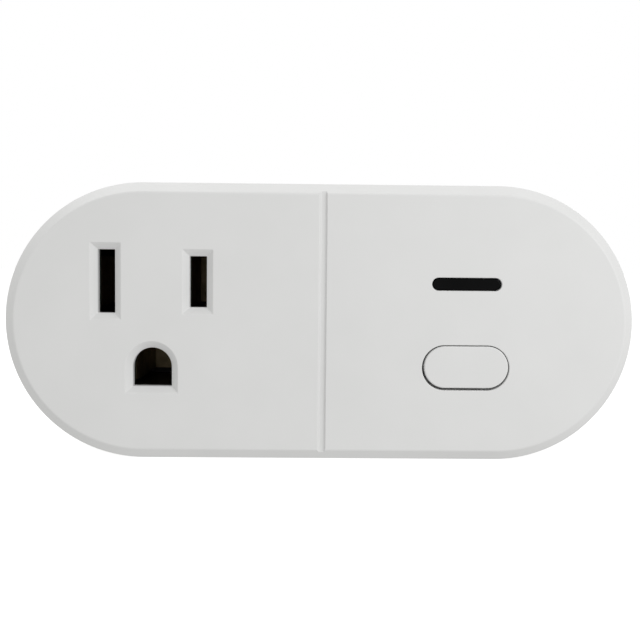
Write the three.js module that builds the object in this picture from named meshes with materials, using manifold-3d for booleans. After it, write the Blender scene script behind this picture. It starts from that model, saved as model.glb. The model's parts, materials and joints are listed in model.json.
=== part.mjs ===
// A smart plug for a 120 V wall outlet: a pill-shaped two-part case with an earthed outlet in its left
// half and a light bar and a push button in its right half. The plug blades stand out of the rear face,
// straight behind the outlet. A relay board fills the right half.
//
// Millimetres, +Z up, front face towards -Y. The origin is on the rear face, midway between the two flat
// blades. Every value below is measured from the case's own centre, and the last group moves the case so
// that the origin comes where it should.

import * as THREE from "three";
import { mergeVertices } from "three/addons/utils/BufferGeometryUtils.js";
import Module from "manifold-3d";

const wasm = await Module();
wasm.setup();

// ---- case ----
const CASE_LENGTH = 87.7;
const CASE_HEIGHT = 38.4;
const CASE_DEPTH = 31;
const SIDE_WALL = 2;
const FACE_WALL = 2.2; // front and rear walls
const EDGE_CHAMFER = 1.4;
const REAR_COVER_DEPTH = 10;
const LIP_THICKNESS = 0.7; // the rear cover's lip, which slides inside the front cover
const LIP_HEIGHT = 1.9;
const GROOVE_X = 0.2; // the groove divides the front face close to the case's centre
const GROOVE_WIDTH = 1.3;
const GROOVE_DEPTH = 0.35;

// ---- clearances ----
const GAP = 0.3; // between pieces that stand face to face
const SEAT = 0.1; // under a part that is soldered or seated
const SLIDE_GAP = 0.22; // round the button

// ---- outlet and plug, to the 120 V 15 A earthed pattern ----
const OUTLET_INSET = 1.25; // from the centre of the case's left end arc
const OUTLET_Z = 5.5; // height of the two flat blades above the case's centre
const BLADE_PITCH = 12.7;
const EARTH_DROP = 11.89;
const BLADE_THICKNESS = 1.52;
const BLADE_LENGTH = 17;
const LINE_BLADE_WIDTH = 6.35;
const NEUTRAL_BLADE_WIDTH = 7.92;
const BLADE_TIP = 1.3;
const BLADE_HOLE_RADIUS = 1.6;
const BLADE_HOLE_Y = 11.7;
const EARTH_PIN_RADIUS = 2.38;
const EARTH_PIN_LENGTH = 20.6;
const SLOT_WIDTH = 2.38;
const LINE_SLOT_HEIGHT = 7.1;
const NEUTRAL_SLOT_HEIGHT = 8.8;
const EARTH_HOLE_RADIUS = 2.7;
const SLOT_BEVEL = 0.95;

// ---- outlet core, contacts and blade carrier ----
const CORE_WIDTH = 22;
const CORE_ABOVE = 6.2; // above the line of the flat blades
const CORE_BELOW = 4.7; // below the earth hole's centre
const CORE_FRONT_WALL = 1.5;
const CORE_CORNER = 2;
const RETAINER_THICKNESS = 1.2;
const CARRIER_THICKNESS = 3;
const CARRIER_LEG = 2.4;
const SHOULDER = 1.2; // how far a blade's shoulder stands out on each side
const SHOULDER_DEPTH = 1.3;
const ROOT_WIDTH = 5;
const ROOT_STANDOUT = 1.6; // a blade's root behind the carrier
const LEAF = 0.5; // thickness of the contacts' strip
const CONTACT_HEIGHT = 7;
const POCKET_SIDE_GAP = 0.45;
const EARTH_LEAF_HALF_GAP = 2.46;
const EARTH_CONTACT_HEIGHT = 4.4;
const CONTACT_TAB_STANDOUT = 1.35; // the line contact's side tab, beside the core

// ---- controls ----
const CONTROL_INSET = 4.4; // from the centre of the case's right end arc
const BUTTON_Z = -6.15;
const BUTTON_LENGTH = 12.2;
const BUTTON_HEIGHT = 6.3;
const BUTTON_WALL = 1.2;
const BUTTON_FLANGE = 0.7;
const BUTTON_STEM_RADIUS = 2;
const BUTTON_TRAVEL = 0.5;
const LIGHT_BAR_LENGTH = 9.7;
const LIGHT_BAR_HEIGHT = 1.8;
const LIGHT_FLANGE = 0.8;
const LIGHT_LEG_RADIUS = 1;
const LED_SPACING = 5.2;
const GUIDE_WALL = 1;

// ---- circuit board and what stands on it ----
const BOARD_LEFT = 2;
const BOARD_THICKNESS = 1.6;
const BOARD_EDGE_GAP = 0.7;
const PART_SPACING = 0.6;
const POST_X = 4; // from the board's left edge
const POST_INSET = 3.6; // from the case's inner side
const POST_RADIUS = 2.4;
const BOARD_SCREW = { radius: 0.9, length: 5, headRadius: 1.9, headHeight: 1.2 };
const RELAY = { x: 15.9, edgeGap: 0.85, length: 19, width: 15.5, height: 15.3, wall: 0.7 };
const SWITCH_SIDE = 6;
const SWITCH_HEIGHT = 3.5;
const PLUNGER_RADIUS = 1.7;
const PLUNGER_STANDOUT = 1.5;
const PLUNGER_TRAVEL = 0.25;

// ---- screws and leads ----
const END_BOSS_INSET = 4.7;
const MID_BOSS_X = -4;
const MID_BOSS_INSET = 6;
const CASE_SCREW = { radius: 1.1, length: 12, headRadius: 2.1, headHeight: 1.6 };
const SCREW_HEAD_CLEARANCE = 0.4;
const SCREW_RECESS_DEPTH = 5.5;
const FRONT_BOSS_WALL = 1.5;
const BOSS_WALL = 1;
const BOSS_SEAT = 1.6;
const LEAD_RADIUS = 0.9;
const PAD_X = 2; // from the board's left edge
const PAD_PITCH = 3.8;

// ---- places worked out from the values above ----
const frontY = -CASE_DEPTH;
const frontInnerY = frontY + FACE_WALL;
const rearInnerY = -FACE_WALL;
const seamY = -REAR_COVER_DEPTH;
const endX = (CASE_LENGTH - CASE_HEIGHT) / 2; // centre of an end arc
const innerRadius = CASE_HEIGHT / 2 - SIDE_WALL;
const outletX = OUTLET_INSET - endX;
const controlX = endX - CONTROL_INSET;
const earthZ = OUTLET_Z - EARTH_DROP;
const carrierRearY = rearInnerY - GAP;
const carrierFrontY = carrierRearY - CARRIER_THICKNESS;
const rootY = carrierFrontY - ROOT_STANDOUT;
const retainerRearY = carrierFrontY - 2 * (LEAD_RADIUS + GAP); // leaves room for the leads
const retainerFrontY = retainerRearY - RETAINER_THICKNESS;
const coreRightX = outletX + CORE_WIDTH / 2;
const coreFrontY = frontInnerY + GAP;
const coreRearY = retainerFrontY - GAP;
const pocketFrontY = coreFrontY + CORE_FRONT_WALL;
const contactBaseY = coreRearY - SEAT - LEAF; // front of the contacts' bases
const buttonFlangeRearY = frontInnerY + GAP + BUTTON_FLANGE;
const boardFrontY = buttonFlangeRearY + GAP + PLUNGER_STANDOUT + SWITCH_HEIGHT;
const boardRearY = boardFrontY + BOARD_THICKNESS;
const pilotRadius = CASE_SCREW.radius + 0.2;
const frontBossRadius = pilotRadius + FRONT_BOSS_WALL;
const recessRadius = CASE_SCREW.headRadius + SCREW_HEAD_CLEARANCE;
const rearBossRadius = recessRadius + BOSS_WALL;
const boardRadius = innerRadius - BOARD_EDGE_GAP;
const postX = BOARD_LEFT + POST_X;
const postZ = innerRadius - POST_INSET;
const slots = [
  { name: "neutral", x: outletX - BLADE_PITCH / 2, height: NEUTRAL_SLOT_HEIGHT, blade: NEUTRAL_BLADE_WIDTH },
  { name: "line", x: outletX + BLADE_PITCH / 2, height: LINE_SLOT_HEIGHT, blade: LINE_BLADE_WIDTH },
];
const [neutralSlot, lineSlot] = slots;
const caseBosses = [
  { x: -CASE_LENGTH / 2 + END_BOSS_INSET, z: 0 },
  { x: CASE_LENGTH / 2 - END_BOSS_INSET, z: 0 },
  { x: MID_BOSS_X, z: CASE_HEIGHT / 2 - MID_BOSS_INSET },
  { x: MID_BOSS_X, z: -CASE_HEIGHT / 2 + MID_BOSS_INSET },
];
const boardPosts = [
  { x: postX, z: postZ },
  { x: postX, z: -postZ },
];

// ---- materials ----
const finish = (color, roughness, metalness = 0) =>
  new THREE.MeshStandardMaterial({ color, roughness, metalness });
const shellPlastic = finish(0xe4e4e2, 0.45);
const blackPlastic = finish(0x0d0d0d, 0.5);
const smokedPlastic = finish(0x070708, 0.15);
const creamPlastic = finish(0xd9d2bf, 0.5);
const brass = finish(0xc9a95a, 0.3, 1);
const nickel = finish(0xc9c5bb, 0.25, 1);
const steel = finish(0x9a9a9c, 0.35, 1);
const boardGreen = finish(0x1f5f3a, 0.45);
const copper = finish(0xb4653a, 0.35, 1);
const relayBlue = finish(0x1d4f9c, 0.4);
const chipBlack = finish(0x161616, 0.6);
const filmYellow = finish(0xd8b53c, 0.45);
const varistorBlue = finish(0x2b5fb0, 0.4);
const fuseBrown = finish(0x5b2f1d, 0.5);
const sleeveBlack = finish(0x15181c, 0.35);
const ledClear = finish(0xf2efe0, 0.2);
const wireBlack = finish(0x141414, 0.5);
const wireRed = finish(0xa31d1d, 0.5);
const wireWhite = finish(0xe9e9e6, 0.5);

// ---- solids ----

// A closed three.js geometry as a solid that can be joined and cut.
function solid(geometry) {
  const bare = geometry.index ? geometry.toNonIndexed() : geometry.clone();
  bare.deleteAttribute("normal");
  bare.deleteAttribute("uv");
  const merged = mergeVertices(bare, 1e-4);
  return new wasm.Manifold(
    new wasm.Mesh({
      numProp: 3,
      vertProperties: merged.attributes.position.array,
      triVerts: new Uint32Array(merged.index.array),
    }),
  );
}

const join = (...shapes) => shapes.reduce((made, shape) => made.add(shape));
const cut = (shape, ...tools) => tools.reduce((made, tool) => made.subtract(tool), shape);

// A solid as a three.js geometry.
function geometryOf(shape) {
  const mesh = shape.getMesh();
  const position = new Float32Array(mesh.numVert * 3);
  for (let i = 0; i < mesh.numVert; i++) {
    position.set(mesh.vertProperties.subarray(i * mesh.numProp, i * mesh.numProp + 3), i * 3);
  }
  const geometry = new THREE.BufferGeometry();
  geometry.setAttribute("position", new THREE.BufferAttribute(position, 3));
  geometry.setIndex(new THREE.BufferAttribute(mesh.triVerts, 1));
  geometry.computeVertexNormals();
  return geometry;
}

// ---- outlines, with x across and y up the face ----

function stadium(length, height) {
  const radius = height / 2;
  const half = length / 2 - radius;
  const shape = new THREE.Shape();
  shape.moveTo(-half, -radius);
  shape.lineTo(half, -radius);
  shape.absarc(half, 0, radius, -Math.PI / 2, Math.PI / 2, false);
  shape.lineTo(-half, radius);
  shape.absarc(-half, 0, radius, Math.PI / 2, (3 * Math.PI) / 2, false);
  return shape;
}

function rectangle(width, height) {
  const shape = new THREE.Shape();
  shape.moveTo(-width / 2, -height / 2);
  shape.lineTo(width / 2, -height / 2);
  shape.lineTo(width / 2, height / 2);
  shape.lineTo(-width / 2, height / 2);
  shape.closePath();
  return shape;
}

function roundedRectangle(width, height, radius) {
  const w = width / 2 - radius;
  const h = height / 2 - radius;
  const shape = new THREE.Shape();
  shape.absarc(w, -h, radius, -Math.PI / 2, 0, false);
  shape.absarc(w, h, radius, 0, Math.PI / 2, false);
  shape.absarc(-w, h, radius, Math.PI / 2, Math.PI, false);
  shape.absarc(-w, -h, radius, Math.PI, (3 * Math.PI) / 2, false);
  shape.closePath();
  return shape;
}

// The earth hole: a round top on a square foot.
function earthOutline(radius) {
  const shape = new THREE.Shape();
  shape.moveTo(-radius, -radius);
  shape.lineTo(radius, -radius);
  shape.absarc(0, 0, radius, 0, Math.PI, false);
  shape.closePath();
  return shape;
}

// ---- bodies that run along Y ----

// An outline of the face, extruded from y0 back to y1, with its own origin at (x, z).
function prism(shape, y0, y1, x = 0, z = 0, curveSegments = 5) {
  const geometry = new THREE.ExtrudeGeometry(shape, { depth: y1 - y0, bevelEnabled: false, curveSegments });
  return solid(geometry.rotateX(Math.PI / 2).translate(x, y1, z));
}

// The same, with both ends chamfered and the outline at the chamfers' outer edge.
function chamferedPrism(shape, y0, y1, chamfer, x = 0, z = 0, curveSegments = 5) {
  const geometry = new THREE.ExtrudeGeometry(shape, {
    depth: y1 - y0 - 2 * chamfer,
    bevelThickness: chamfer,
    bevelSize: chamfer,
    bevelOffset: -chamfer,
    bevelSegments: 1,
    curveSegments,
  });
  return solid(geometry.rotateX(Math.PI / 2).translate(x, y1 - chamfer, z));
}

// A cutter for a hole in the front wall whose edge is bevelled: the outline, and a flare at the front face.
function bevelledHole(shape, x, z) {
  const clear = 1;
  const flare = new THREE.ExtrudeGeometry(shape, {
    depth: clear,
    bevelThickness: SLOT_BEVEL,
    bevelSize: SLOT_BEVEL,
    bevelSegments: 1,
    curveSegments: 5,
  });
  flare.rotateX(Math.PI / 2).translate(x, frontY, z);
  return join(solid(flare), prism(shape, frontY, frontInnerY + clear, x, z));
}

function rod(radius, y0, y1, x = 0, z = 0, segments = 20) {
  const geometry = new THREE.CylinderGeometry(radius, radius, y1 - y0, segments);
  return solid(geometry.translate(x, (y0 + y1) / 2, z));
}

// A box from its width and height, its ends in y and its centre in x and z.
function block(width, height, y0, y1, x = 0, z = 0) {
  return solid(new THREE.BoxGeometry(width, y1 - y0, height).translate(x, (y0 + y1) / 2, z));
}

// A body turned about Y from points (radius, y), listed from -Y to +Y.
function turned(points, segments = 20) {
  return solid(new THREE.LatheGeometry(points.map(([r, y]) => new THREE.Vector2(r, y)), segments));
}

// ---- meshes ----

function meshOf(name, shape, material, x = 0, y = 0, z = 0) {
  const mesh = new THREE.Mesh(geometryOf(shape), material);
  mesh.name = name;
  mesh.position.set(x, y, z);
  return mesh;
}

// ---- case ----

const CASE_SEGMENTS = 11; // three.js gives an arc two sides for each of these

const caseBlock = chamferedPrism(
  stadium(CASE_LENGTH, CASE_HEIGHT), frontY, 0, EDGE_CHAMFER, 0, 0, CASE_SEGMENTS,
);

// A stadium that follows the case's side at an inset, for walls and lips.
function caseInset(inset, y0, y1) {
  const shape = stadium(CASE_LENGTH - 2 * inset, CASE_HEIGHT - 2 * inset);
  return prism(shape, y0, y1, 0, 0, CASE_SEGMENTS);
}

const beyond = (y0, y1) => block(2 * CASE_LENGTH, 2 * CASE_HEIGHT, y0, y1);

const coreHeight = CORE_ABOVE + EARTH_DROP + CORE_BELOW;
const coreCentreZ = OUTLET_Z + CORE_ABOVE - coreHeight / 2;

// The outline that the core, retainer and carrier share.
const coreOutline = (inset) =>
  roundedRectangle(CORE_WIDTH - 2 * inset, coreHeight - 2 * inset, Math.max(CORE_CORNER - inset, 0.5));

// A block of that outline, kept clear of the screw bosses.
function coreBlock(y0, y1) {
  const bosses = caseBosses.map(({ x, z }) => rod(rearBossRadius + GAP, frontY, 0, x, z));
  return cut(prism(coreOutline(0), y0, y1, outletX, coreCentreZ, 2), ...bosses);
}

// A low wall round the core's outline.
function coreCollar(y0, y1) {
  return cut(
    prism(coreOutline(-GAP - GUIDE_WALL), y0, y1, outletX, coreCentreZ, 2),
    prism(coreOutline(-GAP), y0 - 1, y1 + 1, outletX, coreCentreZ, 2),
  );
}

// A low wall round a stadium-shaped hole.
function stadiumCollar(length, height, y0, y1, x, z) {
  return cut(
    prism(stadium(length + 2 * GUIDE_WALL, height + 2 * GUIDE_WALL), y0, y1, x, z),
    prism(stadium(length, height), y0 - 1, y1 + 1, x, z),
  );
}

const buttonFlangeLength = BUTTON_LENGTH + 2 * BUTTON_FLANGE;
const buttonFlangeHeight = BUTTON_HEIGHT + 2 * BUTTON_FLANGE;
const lightFlangeLength = LIGHT_BAR_LENGTH + 2 * LIGHT_FLANGE;
const lightFlangeHeight = LIGHT_BAR_HEIGHT + 2 * LIGHT_FLANGE;
const BUTTON_GUIDE_DEPTH = GAP + BUTTON_FLANGE + BUTTON_TRAVEL + 1.7;
const LIGHT_SHROUD_DEPTH = 5.6;
const COLLAR_DEPTH = 3;

function frontCover() {
  const insideY = frontInnerY - 0.1; // roots ribs and bosses in the wall
  let shell = cut(
    caseBlock,
    beyond(seamY - GAP / 2, 1),
    caseInset(SIDE_WALL, frontInnerY, 0),
    caseInset(SIDE_WALL - LIP_THICKNESS - GAP, seamY - GAP - LIP_HEIGHT, 0),
  );
  for (const { x, z } of caseBosses) {
    const boss = rod(frontBossRadius, insideY, seamY - GAP / 2, x, z);
    shell = cut(join(shell, boss), rod(pilotRadius, frontInnerY + 3, 0, x, z, 12));
  }
  for (const { x, z } of boardPosts) {
    const post = rod(POST_RADIUS, insideY, boardFrontY - SEAT, x, z);
    shell = cut(join(shell, post), rod(BOARD_SCREW.radius + 0.1, frontInnerY + 0.5, 0, x, z, 12));
  }
  shell = join(
    shell,
    coreCollar(insideY, frontInnerY + COLLAR_DEPTH),
    stadiumCollar(
      buttonFlangeLength + 2 * GAP, buttonFlangeHeight + 2 * GAP,
      insideY, frontInnerY + BUTTON_GUIDE_DEPTH, controlX, BUTTON_Z,
    ),
    stadiumCollar(
      lightFlangeLength + 2 * GAP, lightFlangeHeight + 2 * GAP,
      insideY, frontInnerY + LIGHT_SHROUD_DEPTH, controlX, OUTLET_Z,
    ),
  );
  for (const { x, height } of slots) {
    shell = cut(shell, bevelledHole(rectangle(SLOT_WIDTH, height), x, OUTLET_Z));
  }
  return cut(
    shell,
    bevelledHole(earthOutline(EARTH_HOLE_RADIUS), outletX, earthZ),
    prism(stadium(BUTTON_LENGTH, BUTTON_HEIGHT), frontY - 1, frontInnerY + 1, controlX, BUTTON_Z, 8),
    prism(stadium(LIGHT_BAR_LENGTH, LIGHT_BAR_HEIGHT), frontY - 1, frontInnerY + 1, controlX, OUTLET_Z),
    block(GROOVE_WIDTH, 2 * CASE_HEIGHT, frontY - 1, frontY + GROOVE_DEPTH, GROOVE_X),
  );
}

function rearCover() {
  const lipRoot = 0.5; // how far the lip's foot runs down inside the wall
  const lip = cut(
    caseInset(SIDE_WALL - LIP_THICKNESS, seamY - LIP_HEIGHT, seamY + lipRoot),
    caseInset(SIDE_WALL, seamY - LIP_HEIGHT - 1, 1),
    ...caseBosses.map(({ x, z }) => rod(frontBossRadius + GAP, frontY, seamY + GAP / 2, x, z)),
  );
  let shell = cut(
    caseBlock,
    beyond(frontY - 1, seamY + GAP / 2),
    caseInset(SIDE_WALL, frontY - 1, rearInnerY),
  );
  shell = join(shell, lip, coreCollar(carrierFrontY, rearInnerY + 0.1));
  for (const { x, z } of caseBosses) {
    shell = cut(
      join(shell, rod(rearBossRadius, seamY + GAP / 2, rearInnerY + 0.1, x, z)),
      rod(recessRadius, -SCREW_RECESS_DEPTH, 1, x, z),
      rod(CASE_SCREW.radius + GAP, -SCREW_RECESS_DEPTH - BOSS_SEAT - 1, 0, x, z, 12),
      rod(CASE_SCREW.radius + BOSS_WALL, frontY, -SCREW_RECESS_DEPTH - BOSS_SEAT, x, z, 16),
    );
  }
  for (const { x, blade } of slots) {
    shell = cut(shell, block(BLADE_THICKNESS + 2 * GAP, blade + 2 * GAP, seamY, 1, x, OUTLET_Z));
  }
  return cut(shell, rod(EARTH_PIN_RADIUS + GAP, seamY, 1, outletX, earthZ));
}

function caseScrew({ radius, length, headRadius, headHeight }) {
  const body = turned(
    [
      [0, -length],
      [radius * 0.35, -length],
      [radius, -length + 2 * radius],
      [radius, 0],
      [headRadius, 0],
      [headRadius, headHeight * 0.5],
      [headRadius * 0.7, headHeight],
      [0, headHeight],
    ],
    16,
  );
  const arm = headRadius * 1.1;
  const recess = headHeight * 0.6;
  const slotWidth = headRadius * 0.28;
  return cut(
    body,
    block(arm, slotWidth, headHeight - recess, headHeight + 1),
    block(slotWidth, arm, headHeight - recess, headHeight + 1),
  );
}

const caseGroup = new THREE.Group();
caseGroup.add(meshOf("front_cover", frontCover(), shellPlastic));
caseGroup.add(meshOf("rear_cover", rearCover(), shellPlastic));
caseBosses.forEach(({ x, z }, i) => {
  const screw = caseScrew(CASE_SCREW);
  caseGroup.add(meshOf(`case_screw_${i + 1}`, screw, steel, x, -SCREW_RECESS_DEPTH + SEAT, z));
});

// ---- outlet core, contacts and plug blades ----

const pocketHalf = (bodyHalf) => bodyHalf + LEAF + POCKET_SIDE_GAP;
const contactBodyHalf = 1.65;
const tailX = BLADE_THICKNESS / 2 + GAP; // a contact's tail runs beside the blade's root

function outletCore() {
  const body = coreBlock(coreFrontY, coreRearY);
  const half = pocketHalf(contactBodyHalf);
  const pockets = slots.map(({ x, height }) =>
    join(
      block(2 * half, Math.max(height, CONTACT_HEIGHT) + 2 * GAP, pocketFrontY, coreRearY + 1, x, OUTLET_Z),
      block(SLOT_WIDTH + 0.2, height + 0.2, frontY, pocketFrontY + 1, x, OUTLET_Z),
    ),
  );
  const earthHalf = pocketHalf(EARTH_LEAF_HALF_GAP);
  const earthHeight = Math.max(2 * EARTH_HOLE_RADIUS, EARTH_CONTACT_HEIGHT) + 2 * GAP;
  const earthPocket = join(
    block(2 * earthHalf, earthHeight, pocketFrontY, coreRearY + 1, outletX, earthZ),
    prism(earthOutline(EARTH_HOLE_RADIUS + 0.1), frontY, pocketFrontY + 1, outletX, earthZ),
  );
  const tabLength = coreRightX + 1 - lineSlot.x;
  const tabNotch = block(
    tabLength, CONTACT_HEIGHT / 2 + 2 * GAP, contactBaseY - GAP, coreRearY + 1,
    lineSlot.x + tabLength / 2, OUTLET_Z,
  );
  return cut(body, ...pockets, earthPocket, tabNotch);
}

function contactRetainer() {
  const plate = coreBlock(retainerFrontY, retainerRearY);
  const tail = (x, height, z) => block(LEAF + 2 * GAP, height + 2 * GAP, coreRearY, 0, x, z);
  return cut(
    plate,
    tail(neutralSlot.x - tailX - LEAF / 2, ROOT_WIDTH, OUTLET_Z),
    tail(outletX + EARTH_LEAF_HALF_GAP + LEAF / 2, EARTH_CONTACT_HEIGHT, earthZ),
  );
}

function bladeCarrier() {
  const plate = coreBlock(carrierFrontY, carrierRearY);
  const legX = CORE_WIDTH / 2 - CARRIER_LEG / 2;
  const legZ = coreHeight / 2 - CARRIER_LEG / 2;
  const legs = [[-legX, -legZ], [legX, -legZ], [legX, legZ], [-legX, legZ]].map(([x, z]) =>
    block(CARRIER_LEG, CARRIER_LEG, retainerRearY + SEAT, carrierFrontY + 0.5, outletX + x, coreCentreZ + z),
  );
  let body = join(plate, ...legs).intersect(coreBlock(frontY, 0));
  const pocketY = carrierRearY - SHOULDER_DEPTH - GAP;
  for (const { x, blade } of slots) {
    const thick = BLADE_THICKNESS + 2 * GAP;
    body = cut(
      body,
      block(thick, ROOT_WIDTH + 2 * GAP, frontY, 0, x, OUTLET_Z),
      block(thick, blade + 2 * SHOULDER + 2 * GAP, pocketY, 0, x, OUTLET_Z),
    );
  }
  return cut(
    body,
    rod(EARTH_PIN_RADIUS * 0.7 + GAP, frontY, 0, outletX, earthZ),
    rod(EARTH_PIN_RADIUS + SHOULDER + GAP, pocketY, 0, outletX, earthZ),
  );
}

// A flat blade, cut from strip: a tip, shoulders held in the carrier, and a root behind them.
function plugBlade(width) {
  const half = width / 2;
  const shoulderY = carrierRearY - SHOULDER_DEPTH;
  const shape = new THREE.Shape();
  const right = [
    [half - BLADE_TIP, BLADE_LENGTH],
    [half, BLADE_LENGTH - BLADE_TIP],
    [half, carrierRearY],
    [half + SHOULDER, carrierRearY],
    [half + SHOULDER, shoulderY],
    [ROOT_WIDTH / 2, shoulderY],
    [ROOT_WIDTH / 2, rootY],
  ];
  const left = right.map(([u, v]) => [-u, v]).reverse();
  shape.setFromPoints([...right, ...left].map(([u, v]) => new THREE.Vector2(u, v)));
  const hole = new THREE.Path();
  hole.absarc(0, BLADE_HOLE_Y, BLADE_HOLE_RADIUS, 0, 2 * Math.PI, false);
  shape.holes.push(hole);
  const strip = new THREE.ExtrudeGeometry(shape, {
    depth: BLADE_THICKNESS,
    bevelEnabled: false,
    curveSegments: 16,
  });
  return solid(strip.rotateY(Math.PI / 2).translate(-BLADE_THICKNESS / 2, 0, 0));
}

// The round earth pin: bullet tip, flange held in the carrier, and a thinner root riveted to the strap.
function earthPin() {
  const r = EARTH_PIN_RADIUS;
  const tip = [];
  for (let i = 0; i <= 4; i++) {
    const angle = (i * Math.PI) / 8;
    tip.push([r * Math.cos(angle), EARTH_PIN_LENGTH - r + r * Math.sin(angle)]);
  }
  tip[tip.length - 1][0] = 0;
  const shoulderY = carrierRearY - SHOULDER_DEPTH;
  return turned(
    [
      [0, rootY],
      [r * 0.7, rootY],
      [r * 0.7, shoulderY],
      [r + SHOULDER, shoulderY],
      [r + SHOULDER, carrierRearY],
      [r, carrierRearY],
      ...tip,
    ],
    20,
  );
}

// A spring contact bent from strip: two leaves that pinch near their mouth, and a base behind them.
function springContact(mouthHalf, pinchHalf, bodyHalf, baseY, height) {
  const mouthY = pocketFrontY + GAP;
  const pinchY = mouthY + 3.4;
  const bodyY = mouthY + 9;
  const leaf = new THREE.SplineCurve([
    new THREE.Vector2(mouthHalf, mouthY),
    new THREE.Vector2(pinchHalf, pinchY),
    new THREE.Vector2((pinchHalf + bodyHalf) / 2, (pinchY + bodyY) / 2),
    new THREE.Vector2(bodyHalf, bodyY),
  ]).getPoints(8);
  const inner = [...leaf.map((p) => [p.x, p.y]), [bodyHalf, baseY]];
  const outer = [...leaf.map((p) => [p.x + LEAF, p.y]), [bodyHalf + LEAF, baseY + LEAF]];
  const mirrored = (points) => points.map(([x, y]) => [-x, y]);
  const outline = [
    ...outer,
    ...mirrored(outer).reverse(),
    ...mirrored(inner),
    ...[...inner].reverse(),
  ];
  const shape = new THREE.Shape(outline.map(([x, y]) => new THREE.Vector2(x, y)));
  const strip = new THREE.ExtrudeGeometry(shape, { depth: height, bevelEnabled: false });
  return solid(strip.translate(0, 0, -height / 2));
}

function neutralContact() {
  const clip = springContact(1.5, 0.86, contactBodyHalf, contactBaseY, CONTACT_HEIGHT);
  const tailEnd = carrierFrontY - SEAT;
  return join(clip, block(LEAF, ROOT_WIDTH, contactBaseY + 0.1, tailEnd, -tailX - LEAF / 2, 0));
}

function lineContact() {
  const clip = springContact(1.5, 0.86, contactBodyHalf, contactBaseY, CONTACT_HEIGHT);
  const reach = coreRightX + CONTACT_TAB_STANDOUT - lineSlot.x;
  const tab = block(reach, CONTACT_HEIGHT / 2, contactBaseY, contactBaseY + LEAF, reach / 2, 0);
  return join(clip, tab);
}

const strapFrontY = rootY + GAP;
const STRAP_THICKNESS = 0.6;

function earthContact() {
  const half = EARTH_LEAF_HALF_GAP;
  const clip = springContact(half + 0.35, half, half, contactBaseY, EARTH_CONTACT_HEIGHT);
  const tail = block(LEAF, EARTH_CONTACT_HEIGHT, contactBaseY + 0.1, strapFrontY - GAP, half + LEAF / 2, 0);
  return join(clip, tail);
}

// The flat link between the earth pin's root and the earth contact's tail.
function earthStrap() {
  const half = EARTH_LEAF_HALF_GAP + LEAF;
  const plate = block(2 * half, EARTH_CONTACT_HEIGHT, strapFrontY, strapFrontY + STRAP_THICKNESS);
  return cut(plate, rod(EARTH_PIN_RADIUS * 0.7 + SEAT, frontY, 0, 0, 0, 16));
}

const outletGroup = new THREE.Group();
outletGroup.add(meshOf("outlet_core", outletCore(), blackPlastic));
outletGroup.add(meshOf("contact_retainer", contactRetainer(), blackPlastic));
outletGroup.add(meshOf("blade_carrier", bladeCarrier(), creamPlastic));
outletGroup.add(meshOf("neutral_contact", neutralContact(), brass, neutralSlot.x, 0, OUTLET_Z));
outletGroup.add(meshOf("line_contact", lineContact(), brass, lineSlot.x, 0, OUTLET_Z));
outletGroup.add(meshOf("earth_contact", earthContact(), brass, outletX, 0, earthZ));
outletGroup.add(meshOf("earth_strap", earthStrap(), brass, outletX, 0, earthZ));
outletGroup.add(meshOf("earth_pin", earthPin(), nickel, outletX, 0, earthZ));
for (const { name, x, blade } of slots) {
  outletGroup.add(meshOf(`${name}_blade`, plugBlade(blade), nickel, x, 0, OUTLET_Z));
}

// ---- button and light bar ----

function buttonCap() {
  const length = BUTTON_LENGTH - 2 * SLIDE_GAP;
  const height = BUTTON_HEIGHT - 2 * SLIDE_GAP;
  const flange = stadium(buttonFlangeLength, buttonFlangeHeight);
  const body = join(
    prism(stadium(length, height), frontY, frontInnerY + GAP + 0.1, 0, 0, 8),
    prism(flange, frontInnerY + GAP, buttonFlangeRearY, 0, 0, 8),
  );
  const hollow = prism(
    stadium(length - 2 * BUTTON_WALL, height - 2 * BUTTON_WALL), frontY + BUTTON_WALL, 0, 0, 0,
  );
  return join(cut(body, hollow), rod(BUTTON_STEM_RADIUS, frontY + BUTTON_WALL - 0.1, buttonFlangeRearY));
}

function lightBar() {
  const inset = 0.12;
  const flangeFrontY = frontInnerY + SEAT;
  const flangeRearY = flangeFrontY + 1;
  const length = LIGHT_BAR_LENGTH - 2 * inset;
  const height = LIGHT_BAR_HEIGHT - 2 * inset;
  const legEndY = boardFrontY - 1.2;
  return join(
    prism(stadium(length, height), frontY + 0.15, flangeFrontY + 0.1),
    prism(stadium(lightFlangeLength, lightFlangeHeight), flangeFrontY, flangeRearY),
    rod(LIGHT_LEG_RADIUS, flangeRearY - 0.1, legEndY, -LED_SPACING / 2, 0, 16),
    rod(LIGHT_LEG_RADIUS, flangeRearY - 0.1, legEndY, LED_SPACING / 2, 0, 16),
  );
}

// ---- circuit board ----

function mainBoard() {
  const shape = new THREE.Shape();
  shape.moveTo(BOARD_LEFT, -boardRadius);
  shape.absarc(endX, 0, boardRadius, -Math.PI / 2, Math.PI / 2, false);
  shape.lineTo(BOARD_LEFT, boardRadius);
  shape.closePath();
  const board = prism(shape, boardFrontY, boardRearY, 0, 0, CASE_SEGMENTS);
  const endBoss = caseBosses[1];
  const notchRadius = frontBossRadius + 2 * GAP;
  const holes = boardPosts.map(({ x, z }) => rod(BOARD_SCREW.radius + SEAT, frontY, 0, x, z, 12));
  return cut(
    board,
    rod(notchRadius, frontY, 0, endBoss.x, 0),
    block(CASE_LENGTH, 2 * notchRadius, frontY, 0, endBoss.x + CASE_LENGTH / 2, 0),
    ...holes,
  );
}

// The push switch: a square body with a round well, a snap dome at its bottom and a plunger above that.
const SWITCH_LID = 0.8; // wall over the wider lower part of the well
const DOME_RISE = 0.35;
const DOME_THICKNESS = 0.12;
const wellFloor = 1; // above the board
const domeTopY = -wellFloor - SEAT - DOME_RISE - DOME_THICKNESS;
const switchY = boardFrontY - SEAT;

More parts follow.
